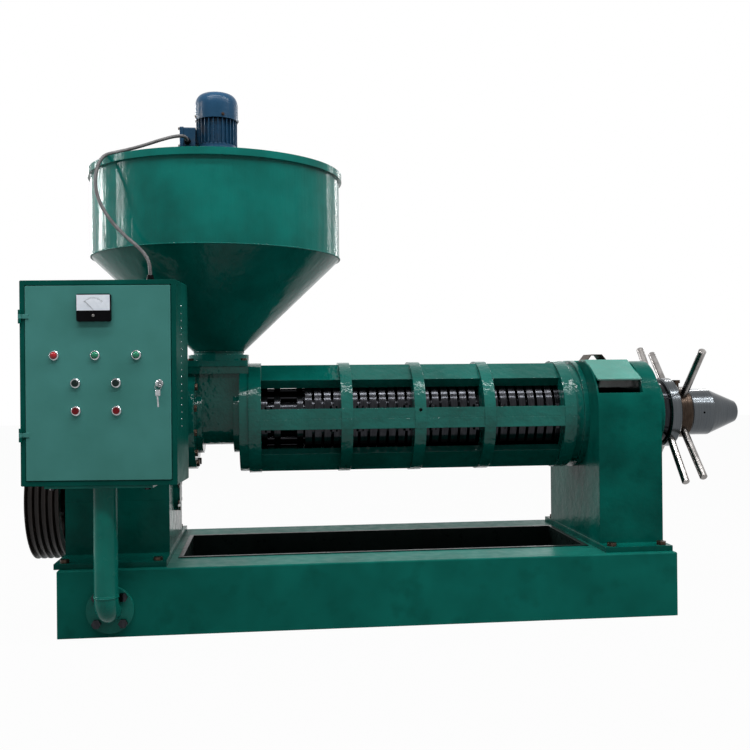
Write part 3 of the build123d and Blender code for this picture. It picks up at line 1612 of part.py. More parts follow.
shelf_bolt_x = shelf_length / 2 - shelf_bolt_inset
shelf_bolt_y = shelf_width / 2 - shelf_bolt_inset
shelf_under = Plane(
    origin=(pipe_x, pipe_y, pipe_top), x_dir=cabinet_front.x_dir, z_dir=(0, 0, -1)
)
shelf_spots = [(i * shelf_bolt_x, j * shelf_bolt_y) for i in (-1, 1) for j in (-1, 1)]
flange_spots = ring_spots(pipe_flange_radius - pipe_bolt, 4, 45)
with BuildPart() as pipe_bolts:
    hex_bolts(elbow_plane.offset(pipe_flange), flange_spots, pipe_bolt, 0)
    hex_bolts(shelf_under, shelf_spots, shelf_bolt, 0)
save(pipe_bolts.part, "pipe_bolts")

# Glands and the flexible conduit between them
gland_x = terminal_left + gland_inset
gland_z = terminal_low + gland_rise
with BuildPart() as conduit_glands:
    for plane in (
        Plane(origin=(gland_x, -terminal_width / 2, gland_z), x_dir=(1, 0, 0), z_dir=(0, -1, 0)),
        Plane(origin=(*conduit_entry, cabinet_z + cabinet_height), z_dir=(0, 0, 1)),
    ):
        with BuildSketch(plane) as nut:
            RegularPolygon(1.2 * gland_radius, 6)
        extrude(nut.sketch, amount=gland_length / 2)
        with BuildSketch(plane.offset(gland_length / 2)) as collar:
            Circle(gland_radius)
        extrude(collar.sketch, amount=gland_length / 2, taper=8)
save(conduit_glands.part, "conduit_glands")

upper_gland = Vector(gland_x, -terminal_width / 2 - gland_length, gland_z)
lower_gland = Vector(*conduit_entry, cabinet_z + cabinet_height + gland_length)
conduit_points = [
    upper_gland,
    *[upper_gland + Vector(*step) for step in conduit_first],
    *[lower_gland + Vector(*step) for step in conduit_last],
    lower_gland,
]
conduit_radii = []
for before, here, after in zip(conduit_points, conduit_points[1:], conduit_points[2:]):
    shorter = min((here - before).length, (after - here).length)
    turn = radians((here - before).get_angle(after - here))
    conduit_radii.append(0.45 * shorter / tan(turn / 2))
print("conduit radii", [round(radius) for radius in conduit_radii])
with BuildPart() as flexible_conduit:
    with BuildLine() as conduit_line:
        FilletPolyline(*conduit_points, radius=conduit_radii)
    start_way = conduit_points[1] - conduit_points[0]
    with BuildSketch(Plane(origin=conduit_points[0], z_dir=start_way)):
        Circle(conduit_radius)
    sweep()
conduit_run = conduit_line.wires()[0].length
conduit_share = flexible_conduit.part.volume / (pi * conduit_radius**2 * conduit_run)
print("conduit length", round(conduit_run), "volume share", round(conduit_share, 4))
save(flexible_conduit.part, "flexible_conduit")
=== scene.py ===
"""Looks for the screw oil press: finishes, fine detail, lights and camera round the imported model."""
import math

import bmesh
import bpy
from mathutils import Matrix, Vector


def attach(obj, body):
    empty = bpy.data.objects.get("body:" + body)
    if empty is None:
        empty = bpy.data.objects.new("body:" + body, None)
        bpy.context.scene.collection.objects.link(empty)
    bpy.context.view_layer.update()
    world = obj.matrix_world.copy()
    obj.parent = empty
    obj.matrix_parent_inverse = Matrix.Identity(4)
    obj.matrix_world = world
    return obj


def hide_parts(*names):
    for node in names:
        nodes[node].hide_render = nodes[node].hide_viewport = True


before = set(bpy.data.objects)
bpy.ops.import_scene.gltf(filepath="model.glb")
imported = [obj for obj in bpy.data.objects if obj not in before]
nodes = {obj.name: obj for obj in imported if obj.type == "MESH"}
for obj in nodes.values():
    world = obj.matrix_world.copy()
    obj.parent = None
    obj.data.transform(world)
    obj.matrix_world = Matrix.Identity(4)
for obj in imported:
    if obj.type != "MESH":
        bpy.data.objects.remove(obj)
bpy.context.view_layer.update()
scene = bpy.context.scene
scene.view_settings.view_transform = "Standard"

# Places and sizes that this script shares with the part's source, in metres
SHAFT_Z = 0.680
HOPPER_X = -0.5365
HOPPER_AXIS = Matrix.Translation((HOPPER_X, 0, 0))
HOPPER_RADIUS = 0.444
HOPPER_LOW = 1.258
NECK_RADIUS = 0.090
NECK_HIGH = 0.921
PIPE = (-0.864, -0.465)
PIPE_RADIUS = 0.037
ELBOW_TOP = 0.147
BASE_FRONT = -0.390
PIPE_LOW = 0.090
PIPE_FLANGE = 0.014
FAN_COVER_RADIUS = 0.077
FAN_COVER_LOW = 1.7623
FAN_SCREW_HEIGHT = 0.012
FAN_SCREW_TURNS = (20, 110, 200, 290)
TERMINAL_FACE = -0.6665
TERMINAL_MIDDLE = 1.696
TERMINAL_SCREWS = (0.031, 0.037)
CONDUIT = [
    (-0.6385, -0.065, 1.680), (-0.6385, -0.106, 1.680), (-0.6515, -0.142, 1.675),
    (-0.6795, -0.172, 1.663), (-0.7185, -0.194, 1.645), (-0.7645, -0.214, 1.623),
    (-0.8105, -0.238, 1.602), (-0.8505, -0.268, 1.584), (-0.8885, -0.304, 1.565),
    (-0.9035, -0.328, 1.526), (-0.909, -0.347, 1.478), (-0.903, -0.358, 1.427),
    (-0.880, -0.372, 1.373), (-0.842, -0.394, 1.321), (-0.801, -0.420, 1.279),
    (-0.767, -0.444, 1.250), (-0.742, -0.462, 1.225), (-0.726, -0.474, 1.200),
    (-0.719, -0.478, 1.175), (-0.719, -0.478, 1.151),
]


def colour(code):
    """Linear colour of an sRGB hex value."""
    parts = [int(code[i:i + 2], 16) / 255 for i in (0, 2, 4)]
    return (*[p / 12.92 if p <= 0.04045 else ((p + 0.055) / 1.055) ** 2.4 for p in parts], 1)


def add(tree, kind, inputs=None, take=None, **settings):
    """A node with its settings and links. Gives back the output in take, or else the first in use."""
    node = tree.nodes.new(kind)
    for name, value in settings.items():
        setattr(node, name, value)
    for name, value in (inputs or {}).items():
        if isinstance(value, bpy.types.NodeSocket):
            tree.links.new(value, node.inputs[name])
        else:
            node.inputs[name].default_value = value
    usable = [socket for socket in node.outputs if socket.enabled]
    return node.outputs[take] if take else (usable[0] if usable else node)


# Camera at the photograph's place, in metres and radians, with its sensor in millimetres
FOCAL_PIXELS = 930.8
PHOTO_WIDTH = 750
SENSOR = 36
CAMERA = (-0.343, -3.4467, 0.8281)
YAW, PITCH, ROLL = 0.11, 0.0014, -0.0092


def make_camera():
    """A pinhole camera that looks along +Y, turned by YAW, PITCH and ROLL."""
    ahead = Vector((
        math.sin(YAW) * math.cos(PITCH), math.cos(YAW) * math.cos(PITCH), math.sin(PITCH)
    ))
    level = Vector((math.cos(YAW), -math.sin(YAW), 0))
    upright = level.cross(ahead)
    right = math.cos(ROLL) * level + math.sin(ROLL) * upright
    up = math.cos(ROLL) * upright - math.sin(ROLL) * level
    data = bpy.data.cameras.new("camera")
    data.sensor_width = SENSOR
    data.lens = SENSOR * FOCAL_PIXELS / PHOTO_WIDTH
    camera = bpy.data.objects.new("camera", data)
    turn = Matrix((right, up, -ahead)).transposed()
    camera.matrix_world = Matrix.Translation(CAMERA) @ turn.to_4x4()
    scene.collection.objects.link(camera)
    scene.camera = camera


make_camera()

# Sizes of the patterns in the finishes, in metres. Orange peel, brush marks and turning marks
# are under a millimetre on the real press and drawn as coarse as the render can show.
CLOUD = 0.19
STAIN = 0.07
SCUFF = 0.035
# Upright runs of a thick coat; they also lighten it as a painted upright sheen
DRIP_AND_SHEEN = (0.055, 0.055, 0.50)
PEEL = 0.011
LUMP = 0.034
PIT = 0.013
TURNING = 0.0035
EDGE = 0.0025

# Depth of a coat's relief, of machining marks and of a moulded grain, in metres,
# and how much of a coat's relief its orange peel and a casting's pits take
COAT_DEPTH = 0.004
MARK_DEPTH = 0.0006
GRAIN_DEPTH = 0.0003
PEEL_SHARE = 0.12
PIT_SHARE = 0.25


def start(name, roughness, metallic=0.0):
    """A new material, with its node tree, its shader and the place on the object."""
    material = bpy.data.materials.new(name)
    material.use_nodes = True
    tree = material.node_tree
    shader = tree.nodes["Principled BSDF"]
    shader.inputs["Roughness"].default_value = roughness
    shader.inputs["Metallic"].default_value = metallic
    return material, tree, shader, add(tree, "ShaderNodeTexCoord", take="Object")


def pattern(tree, place, size, low, high, least=0.0, most=1.0, detail=3.0):
    """A cloudy pattern of a size in metres, or of three sizes along X, Y and Z, from least to most."""
    sizes = size if isinstance(size, tuple) else (size, size, size)
    scaled = add(tree, "ShaderNodeMapping", {
        "Vector": place, "Scale": [1 / part for part in sizes],
    })
    cloudy = add(tree, "ShaderNodeTexNoise", {"Vector": scaled, "Scale": 1.0, "Detail": detail})
    return add(tree, "ShaderNodeMapRange", {
        "Value": cloudy, "From Min": low, "From Max": high, "To Min": least, "To Max": most,
    })


def enamel(name, light, dark, worn, gloss, shine=0.1, lumps=0.0, drips_and_sheen=0.0, peel=0.3, dirt=0.5):
    """Enamel on steel or cast iron: an uneven coat with some dirt in it, softly rounded edges that
    catch the light, orange peel, and the lumps of a casting or the drips of a thick coat. The drips
    also lighten the coat in upright streaks, which are a painted sheen."""
    material, tree, shader, place = start(name, gloss)
    coat = add(tree, "ShaderNodeMix", {
        "Factor": pattern(tree, place, CLOUD, 0.35, 0.66), "A": colour(dark), "B": colour(light),
    }, data_type="RGBA")
    # Upright runs: drips of a thick coat in the relief, and lighter streaks in the colour that are a
    # painted upright sheen
    runs_and_sheen = pattern(tree, place, DRIP_AND_SHEEN, 0.42, 0.70, 0, drips_and_sheen)
    streaked = add(tree, "ShaderNodeMix", {
        "Factor": runs_and_sheen, "A": coat, "B": colour(light),
    }, data_type="RGBA")
    grime = pattern(tree, place, STAIN, 0.55, 0.80, 0, dirt, 6.0)
    dirty = add(tree, "ShaderNodeMix", {
        "Factor": grime, "A": streaked, "B": colour(worn),
    }, data_type="RGBA")
    tree.links.new(dirty, shader.inputs["Base Color"])
    dull = pattern(tree, place, SCUFF, 0.35, 0.70, gloss - 0.03, gloss + 0.08)
    tree.links.new(dull, shader.inputs["Roughness"])
    shader.inputs["Specular IOR Level"].default_value = shine
    height = add(tree, "ShaderNodeMath", {
        0: pattern(tree, place, PEEL, 0.3, 0.7), 1: PEEL_SHARE * peel, 2: runs_and_sheen,
    }, operation="MULTIPLY_ADD")
    if lumps:
        for size, share in ((LUMP, lumps), (PIT, PIT_SHARE * lumps)):
            height = add(tree, "ShaderNodeMath", {
                0: pattern(tree, place, size, 0.3, 0.7, detail=2.0), 1: share, 2: height,
            }, operation="MULTIPLY_ADD")
    edge = add(tree, "ShaderNodeBevel", {"Radius": EDGE}, samples=6)
    relief = add(tree, "ShaderNodeBump", {
        "Strength": 1.0, "Distance": COAT_DEPTH, "Height": height, "Normal": edge,
    })
    tree.links.new(relief, shader.inputs["Normal"])
    return material


def metal(name, bright, dull, stain, gloss, marks=(1, 1, 1), stained=0.3, relief=0.2):
    """Bare steel or iron: machining marks along one way, cloudy polish and dark stains."""
    material, tree, shader, place = start(name, gloss, 1.0)
    size = tuple(TURNING * stretch for stretch in marks)
    lines = pattern(tree, place, size, 0.3, 0.7)
    face = add(tree, "ShaderNodeMix", {
        "Factor": lines, "A": colour(dull), "B": colour(bright),
    }, data_type="RGBA")
    spots = pattern(tree, place, SCUFF, 0.48, 0.72, 0, stained, 6.0)
    stains = add(tree, "ShaderNodeMix", {
        "Factor": spots, "A": face, "B": colour(stain),
    }, data_type="RGBA")
    tree.links.new(stains, shader.inputs["Base Color"])
    blur = add(tree, "ShaderNodeMath", {0: spots, 1: 0.22, 2: gloss}, operation="MULTIPLY_ADD")
    tree.links.new(blur, shader.inputs["Roughness"])
    edge = add(tree, "ShaderNodeBevel", {"Radius": 0.5 * EDGE}, samples=4)
    grooves = add(tree, "ShaderNodeBump", {
        "Strength": relief, "Distance": MARK_DEPTH, "Height": lines, "Normal": edge,
    })
    tree.links.new(grooves, shader.inputs["Normal"])
    return material


def moulded(name, light, dark, gloss, shine=0.5):
    """Moulded plastic: even colour, a faint grain and slightly uneven gloss."""
    material, tree, shader, place = start(name, gloss)
    tone = pattern(tree, place, SCUFF, 0.3, 0.7)
    shades = add(tree, "ShaderNodeMix", {
        "Factor": tone, "A": colour(dark), "B": colour(light),
    }, data_type="RGBA")
    tree.links.new(shades, shader.inputs["Base Color"])
    sheen = pattern(tree, place, PEEL, 0.3, 0.7, gloss - 0.04, gloss + 0.08)
    tree.links.new(sheen, shader.inputs["Roughness"])
    shader.inputs["Specular IOR Level"].default_value = shine
    grain = add(tree, "ShaderNodeBump", {
        "Strength": 0.15, "Distance": GRAIN_DEPTH, "Height": pattern(tree, place, TURNING, 0.3, 0.7),
    })
    tree.links.new(grain, shader.inputs["Normal"])
    return material


# Green alkyd enamel, sprayed thick on rolled sheet: even and glossy, with soft upright drips that are
# lighter in streaks, a painted upright sheen.
# Each enamel has its lighter and darker tone, the tone of its dirt and its roughness.
hopper_enamel = enamel("hopper_enamel", "096C63", "05554D", "043F37", 0.13, 0.09, drips_and_sheen=0.25, dirt=0.2)
# The same enamel brushed over sand-cast iron: the lumps break its gloss into white sparkles
cast_enamel = enamel("cast_enamel", "085F56", "034D45", "023630", 0.10, 0.22, lumps=0.35, peel=0.05)
# The pedestal and gearbox have a thinner, darker coat over the same casting
case_enamel = enamel("case_enamel", "055A50", "03473F", "022C27", 0.17, 0.03, lumps=0.14, peel=0.03)
# A thin coat on the welded channel steel of the base: duller, with more dirt
base_enamel = enamel("base_enamel", "0F675C", "0B594F", "063F37", 0.34, 0.03, peel=0.1)
# Steel tube with one smooth coat
pipe_enamel = enamel("pipe_enamel", "107064", "0A5B51", "064239", 0.22, 0.10, peel=0.1, dirt=0.3)
# Folded hood plates: the same coat in lighter tones, a painted highlight for the light that falls on
# their tops
hood_enamel_painted_highlight = enamel("hood_enamel_painted_highlight", "16887A", "0E7466", "084F45", 0.16, 0.80, lumps=0.08, peel=0.1)
# Powder coat on the folded sheet of the cabinet: greyer on its door, darker green on its frame, where
# the tone is made darker still as painted shade taken from its shaded side
door_powder = enamel("door_powder", "468680", "3E7B74", "356A62", 0.42, 0.12, peel=0.1, dirt=0.15)
frame_powder_and_painted_shade = enamel("frame_powder_and_painted_shade", "09534A", "06443C", "04352E", 0.34, 0.03, peel=0.05, dirt=0.2)
# Blue machine enamel of the motor, chipped and dusty with rust
motor_enamel = enamel("motor_enamel", "194260", "10334A", "4A4138", 0.26, 0.15, lumps=0.1, dirt=0.8)
# Black primer, thin on the tray, brown where it is worn on the pulley's lands
tray_primer = enamel("tray_primer", "14211F", "0C1614", "050908", 0.30, 0.10, peel=0.2)
pulley_primer = enamel("pulley_primer", "2A2320", "171210", "0B0807", 0.32, 0.20, peel=0.3)
# Turned steel, oiled: mid-grey with fine marks round the press shaft and bright lamp lines.
# Each metal has its lighter and darker tone, the tone of its stains and its roughness.
turned_steel = metal("turned_steel", "54585B", "484C50", "3A3835", 0.21, (1, 60, 60), 0.1, 0.0)
# Cold-drawn round bar, polished by hands
bar_steel = metal("bar_steel", "A09D9B", "777472", "3E3733", 0.22, (12, 12, 12), 0.15, 0.02)
# Hardened steel, black with oil, with glints along its edges: the pressing rings and what is near them
oiled_steel = metal("oiled_steel", "2E2F32", "1E1F22", "141110", 0.13, (1, 8, 8), 0.3, 0.02)
# Cast iron ring, brown with old oil, with turning marks that are hard to see
brown_iron = metal("brown_iron", "40362F", "2B241F", "1A120D", 0.28, (1, 15, 15), 0.5, 0.05)
# Forged steel bolts with a film of rust: brown and dull
bolt_iron = metal("bolt_iron", "4A3E36", "302620", "20140E", 0.38, (1, 1, 1), 0.5)
# Ground steel of shafts and bearings: light grey, clean and half bright
plain_steel = metal("plain_steel", "8A8886", "5C5A58", "3A322C", 0.25, (1, 1, 1), 0.3)
# Uncoated steel sheet of the vent, rusted: dark brown in patches, with little gloss
rusty_sheet = metal("rusty_sheet", "4A3B30", "30241C", "1C100B", 0.45, (3, 3, 3), 0.7)
# Chrome plate: pale, smooth and mirror-like
chrome_plate = metal("chrome_plate", "B4B8BA", "8E9294", "5A5C5E", 0.12, (3, 3, 3), 0.1, 0.02)
# Moulded ABS of the meter's case, its marks and the glands: deep black, half matt
black_abs = moulded("black_abs", "0C0C0E", "070709", 0.3, 0.03)
# Moulded nylon buttons: one even colour under a soft gloss
dark_button = moulded("dark_button", "0E2422", "081816", 0.22, 0.15)
red_button = moulded("red_button", "7A0D18", "5C0911", 0.22, 0.15)
# Moulded acrylic lamp lenses, unlit: full colour under a hard gloss
green_lens = moulded("green_lens", "178F6C", "0E7252", 0.12, 0.3)
red_lens = moulded("red_lens", "B01824", "8A0E18", 0.12, 0.3)
# Printed card behind the meter's window: almost white, glossy as its window
dial_card = moulded("dial_card", "F0F6FE", "DCE4EE", 0.25, 0.3)
# Extruded PVC of the conduit: mid-grey and matt
grey_pvc = moulded("grey_pvc", "6A696A", "4C4B4C", 0.45, 0.3)

USES = {
    hopper_enamel: ["hopper_shell", "motor_beam"],
    cast_enamel: ["feed_housing", "output_lantern", "upper_cage_frame", "lower_cage_frame"],
    case_enamel: [
        "discharge_pedestal", "gearbox_bearing_caps", "gearbox_cover", "gearbox_middle_housing",
        "gearbox_lower_housing",
    ],
    hood_enamel_painted_highlight: ["chute_hoods"],
    base_enamel: ["base_frame"],
    pipe_enamel: ["support_pipe"],
    door_powder: ["cabinet_door"],
    frame_powder_and_painted_shade: ["cabinet_body"],
    motor_enamel: ["motor_body", "fan_cover", "stirrer_reducer", "terminal_box", "terminal_cover"],
    tray_primer: ["oil_tray"],
    pulley_primer: ["drive_pulley"],
    turned_steel: ["adjusting_screw", "lock_ring"],
    bar_steel: ["lock_bars", "adjusting_bars"],
    oiled_steel: [
        "pipe_bolts", "cage_clamp_bolts", "cage_rods", "cage_rings_bay_1", "cage_rings_bay_2",
        "cage_rings_bay_3", "cage_rings_bay_4", "worm_sections", "intermediate_gear", "output_gear",
        "choke_sleeve",
    ],
    brown_iron: ["adjusting_ring"],
    bolt_iron: ["gearbox_bolts", "pedestal_foot_bolts", "lock_screw", "feed_bolts"],
    plain_steel: [
        "worm_shaft", "input_pinion_shaft", "intermediate_pinion_shaft", "shaft_bearings",
        "stirrer_shaft", "stirrer_paddles",
    ],
    rusty_sheet: ["vent_cowl"],
    chrome_plate: ["button_bezels", "door_lock"],
    black_abs: ["conduit_glands", "panel_meter"],
    dark_button: ["push_button_1", "push_button_2"],
    red_button: ["push_button_3", "push_button_4"],
    green_lens: ["lamp_lenses"],
}
for material, names in USES.items():
    for name in names:
        mesh = nodes[name].data
        mesh.materials.clear()
        mesh.materials.append(material)


# Flexible conduit on the part's own route. Its bare line is kept for the ribs.
RIB_RADIUS = 0.0055
RIB_WIRE = 0.0007
RIB_SPACING = 0.006
curve = bpy.data.curves.new("conduit", "CURVE")
curve.dimensions = "3D"
route = curve.splines.new("NURBS")
route.points.add(len(CONDUIT) - 1)
for point, place in zip(route.points, CONDUIT):
    point.co = (*place, 1)
    point.radius = RIB_RADIUS
route.order_u = 3
route.use_endpoint_u = True
route.resolution_u = 12
conduit = bpy.data.objects.new("conduit", curve)
scene.collection.objects.link(conduit)
conduit_line = bpy.data.meshes.new_from_object(
    conduit.evaluated_get(bpy.context.evaluated_depsgraph_get())
)
curve.bevel_depth = 1.0
curve.bevel_resolution = 4
curve.materials.append(grey_pvc)
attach(conduit, "frame")
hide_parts("flexible_conduit")


# Pieces that repeat are grown by geometry nodes along a line or on a set of points
def new_tree(name, sizes):
    """A geometry tree with named inputs for its sizes, and its group input."""
    tree = bpy.data.node_groups.new(name, "GeometryNodeTree")
    tree.interface.new_socket("Geometry", in_out="INPUT", socket_type="NodeSocketGeometry")
    for size in sizes:
        kind = "NodeSocketInt" if size.startswith("Count") else "NodeSocketFloat"
        tree.interface.new_socket(size, in_out="INPUT", socket_type=kind)
    tree.interface.new_socket("Finish", in_out="INPUT", socket_type="NodeSocketMaterial")
    tree.interface.new_socket("Geometry", in_out="OUTPUT", socket_type="NodeSocketGeometry")
    return tree, tree.nodes.new("NodeGroupInput").outputs


def end_tree(tree, given, geometry):
    """Realize Instances, Set Material and the group output."""
    real = add(tree, "GeometryNodeRealizeInstances", {"Geometry": geometry})
    finished = add(tree, "GeometryNodeSetMaterial", {"Geometry": real, "Material": given["Finish"]})
    add(tree, "NodeGroupOutput", {"Geometry": finished})
    return tree


def rib_tree():
    """Round ribs about a line, one every Spacing."""
    tree, given = new_tree("ribs", ["Spacing", "Radius", "Thickness"])
    points = tree.nodes.new("GeometryNodeCurveToPoints")
    points.mode = "LENGTH"
    line = add(tree, "GeometryNodeMeshToCurve", {"Mesh": given["Geometry"]})
    tree.links.new(line, points.inputs["Curve"])
    tree.links.new(given["Spacing"], points.inputs["Length"])
    hoop = add(tree, "GeometryNodeCurvePrimitiveCircle", {
        "Resolution": 16, "Radius": given["Radius"],
    })
    wire = add(tree, "GeometryNodeCurvePrimitiveCircle", {
        "Resolution": 6, "Radius": given["Thickness"],
    })
    rib = add(tree, "GeometryNodeCurveToMesh", {"Curve": hoop, "Profile Curve": wire})
    ribs = add(tree, "GeometryNodeInstanceOnPoints", {
        "Points": points.outputs["Points"], "Instance": rib, "Rotation": points.outputs["Rotation"],
    })
    return end_tree(tree, given, ribs)


def weld_tree():
    """A weld bead along a line: overlapping drops, one every Ripple, each a little different."""
    tree, given = new_tree("weld", ["Ripple", "Width"])
    points = tree.nodes.new("GeometryNodeCurveToPoints")
    points.mode = "LENGTH"
    line = add(tree, "GeometryNodeMeshToCurve", {"Mesh": given["Geometry"]})
    tree.links.new(line, points.inputs["Curve"])
    tree.links.new(given["Ripple"], points.inputs["Length"])
    drop = add(tree, "GeometryNodeMeshUVSphere", {
        "Segments": 10, "Rings": 6, "Radius": given["Width"],
    })
    uneven = add(tree, "FunctionNodeRandomValue", {"Min": 0.42, "Max": 0.55, "Seed": 7})
    drops = add(tree, "GeometryNodeInstanceOnPoints", {
        "Points": points.outputs["Points"], "Instance": drop, "Rotation": points.outputs["Rotation"],
        "Scale": uneven,
    })
    return end_tree(tree, given, drops)


def screw_tree():
    """Cheese-head screws on washers, standing up from the given points."""
    tree, given = new_tree("screws", ["Head radius", "Head height", "Washer radius", "Washer height"])
    washer = add(tree, "GeometryNodeMeshCylinder", {
        "Vertices": 20, "Radius": given["Washer radius"], "Depth": given["Washer height"],
    })
    head = add(tree, "GeometryNodeMeshCylinder", {
        "Vertices": 16, "Radius": given["Head radius"], "Depth": given["Head height"],
    })
    raised = add(tree, "ShaderNodeCombineXYZ", {"Z": given["Head height"]})
    lifted = add(tree, "GeometryNodeTransform", {"Geometry": head, "Translation": raised})
    join = tree.nodes.new("GeometryNodeJoinGeometry")
    for part in (lifted, washer):
        tree.links.new(part, join.inputs["Geometry"])
    screws = add(tree, "GeometryNodeInstanceOnPoints", {
        "Points": given["Geometry"], "Instance": join.outputs["Geometry"],
    })
    return end_tree(tree, given, screws)


def band_tree():
    """Square hoops round the given points."""
    tree, given = new_tree("bands", ["Count", "Radius", "Section"])
    hoop = add(tree, "GeometryNodeCurvePrimitiveCircle", {
        "Resolution": given["Count"], "Radius": given["Radius"],
    })
    square = add(tree, "GeometryNodeCurvePrimitiveQuadrilateral", {
        "Width": given["Section"], "Height": given["Section"],
    })
    band = add(tree, "GeometryNodeCurveToMesh", {"Curve": hoop, "Profile Curve": square})
    bands = add(tree, "GeometryNodeInstanceOnPoints", {"Points": given["Geometry"], "Instance": band})
    return end_tree(tree, given, bands)


def rim_tree():
    """Bare rims of punched holes, lying flat round the given points."""
    tree, given = new_tree("rims", ["Radius", "Thickness"])
    hoop = add(tree, "GeometryNodeCurvePrimitiveCircle", {
        "Resolution": 14, "Radius": given["Radius"],
    })
    wire = add(tree, "GeometryNodeCurvePrimitiveCircle", {
        "Resolution": 6, "Radius": given["Thickness"],
    })
    rim = add(tree, "GeometryNodeCurveToMesh", {"Curve": hoop, "Profile Curve": wire})
    rims = add(tree, "GeometryNodeInstanceOnPoints", {"Points": given["Geometry"], "Instance": rim})
    return end_tree(tree, given, rims)


def dial_tree():
    """Ticks of a dial along an arc, every fifth one longer."""
    tree, given = new_tree("dial", ["Count", "Length", "Width", "Thickness"])
    points = tree.nodes.new("GeometryNodeCurveToPoints")
    line = add(tree, "GeometryNodeMeshToCurve", {"Mesh": given["Geometry"]})
    tree.links.new(line, points.inputs["Curve"])
    tree.links.new(given["Count"], points.inputs["Count"])
    bar = add(tree, "ShaderNodeCombineXYZ", {
        "X": given["Length"], "Y": given["Thickness"], "Z": given["Width"],
    })
    tick = add(tree, "GeometryNodeMeshCube", {"Size": bar})
    number = add(tree, "GeometryNodeInputIndex")
    fifth = add(tree, "ShaderNodeMath", {0: number, 1: 5.0}, operation="MODULO")
    long_one = add(tree, "ShaderNodeMath", {0: fifth, 1: 0.5}, operation="LESS_THAN")
    stretch = add(tree, "ShaderNodeMath", {0: long_one, 1: 0.8, 2: 1.0}, operation="MULTIPLY_ADD")
    size = add(tree, "ShaderNodeCombineXYZ", {"X": stretch, "Y": 1.0, "Z": 1.0})
    ticks = add(tree, "GeometryNodeInstanceOnPoints", {
        "Points": points.outputs["Points"], "Instance": tick, "Rotation": points.outputs["Rotation"],
        "Scale": size,
    })
    return end_tree(tree, given, ticks)


RIBS, WELD, SCREWS, BANDS = rib_tree(), weld_tree(), screw_tree(), band_tree()
RIMS, DIAL = rim_tree(), dial_tree()


def seed_of(points, joined=True, closed=False):
    """Points as the seed of a tree, joined in a line or loose."""
    mesh = bpy.data.meshes.new("seed")
    steps = len(points) if closed else len(points) - 1
    edges = [(i, (i + 1) % len(points)) for i in range(steps)] if joined else []
    mesh.from_pydata(points, edges, [])
    return mesh


def circle_of(radius, count=96):
    """Points round local Z."""
    steps = [2 * math.pi * i / count for i in range(count)]
    return [(radius * math.cos(step), radius * math.sin(step), 0) for step in steps]


def grow(name, seed_mesh, tree, finish, sizes, body, matrix=None, smooth=True):
    """Grows a tree on its seed, and keeps the result as a plain mesh on a body."""
    seed = bpy.data.objects.new("seed", seed_mesh)
    scene.collection.objects.link(seed)
    modifier = seed.modifiers.new("grow", "NODES")
    modifier.node_group = tree
    for item in tree.interface.items_tree:
        if item.in_out == "INPUT" and item.name in sizes:
            modifier[item.identifier] = sizes[item.name]
        if item.name == "Finish":
            modifier[item.identifier] = finish
    grown = seed.evaluated_get(bpy.context.evaluated_depsgraph_get())
    mesh = bpy.data.meshes.new_from_object(grown)
    mesh.name = name
    mesh.transform(matrix or Matrix())
    if smooth:
        mesh.shade_smooth()
        mesh.set_sharp_from_angle(angle=math.radians(40))
    else:
        mesh.shade_flat()
    made = bpy.data.objects.new(name, mesh)
    scene.collection.objects.link(made)
    bpy.data.objects.remove(seed)
    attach(made, body)
    return made


# Ribs of the conduit
ribs = grow(
    "conduit_ribs", conduit_line, RIBS, grey_pvc,
    {"Spacing": RIB_SPACING, "Radius": RIB_RADIUS, "Thickness": RIB_WIRE}, "frame",
)


def weld(name, points, finish, width, matrix):
    """A weld bead round a closed line of points, with a ripple shorter than its width."""
    return grow(
        name, seed_of(points, closed=True), WELD, finish,
        {"Ripple": 0.6 * width, "Width": width}, "frame", matrix,
    )


# Weld beads: hopper cylinder to cone, cone to neck, elbow to pipe and to its flange
hopper_seam = HOPPER_AXIS @ Matrix.Translation((0, 0, HOPPER_LOW))
weld("hopper_weld", circle_of(HOPPER_RADIUS, 192), hopper_enamel, 0.006, hopper_seam)
neck_seam = HOPPER_AXIS @ Matrix.Translation((0, 0, NECK_HIGH))
weld("neck_weld", circle_of(NECK_RADIUS), cast_enamel, 0.005, neck_seam)
pipe_bead = circle_of(PIPE_RADIUS + 0.001)
weld("elbow_weld", pipe_bead, pipe_enamel, 0.004, Matrix.Translation((*PIPE, ELBOW_TOP)))
flange_place = Matrix.Translation((PIPE[0], BASE_FRONT - PIPE_FLANGE, PIPE_LOW))
weld("flange_weld", pipe_bead, pipe_enamel, 0.005, flange_place @ Matrix.Rotation(math.pi / 2, 4, "X"))


# Single pieces
def piece(name, shape, material, body, smooth=False, replaces=()):
    """A mesh object from a bmesh in the shared frame, riding on a body."""
    mesh = bpy.data.meshes.new(name)
    bmesh.ops.recalc_face_normals(shape, faces=shape.faces)
    shape.to_mesh(mesh)
    shape.free()
    if smooth:
        mesh.shade_smooth()
        mesh.set_sharp_from_angle(angle=math.radians(35))
    mesh.materials.append(material)
    made = bpy.data.objects.new(name, mesh)
    scene.collection.objects.link(made)
    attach(made, body)
    if replaces:
        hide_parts(*replaces)
    return made


def lathe(profile, turns=48):
    """A turned shape about local Z from (radius, height) points, closed where a radius is 0."""
    shape = bmesh.new()
    rings = []
    for radius, height in profile:
        if radius == 0:
            rings.append([shape.verts.new((0, 0, height))])
            continue
        ring = []
        for i in range(turns):
            angle = 2 * math.pi * i / turns
            across, along = radius * math.cos(angle), radius * math.sin(angle)
            ring.append(shape.verts.new((across, along, height)))
        rings.append(ring)
    for low, high in zip(rings, rings[1:]):
        for i in range(turns):
            after = (i + 1) % turns
            below = [low[i % len(low)], low[after % len(low)]]
            above = [high[after % len(high)], high[i % len(high)]]
            corners = list(dict.fromkeys(below + above))
            if len(corners) > 2:
                shape.faces.new(corners)
    return shape


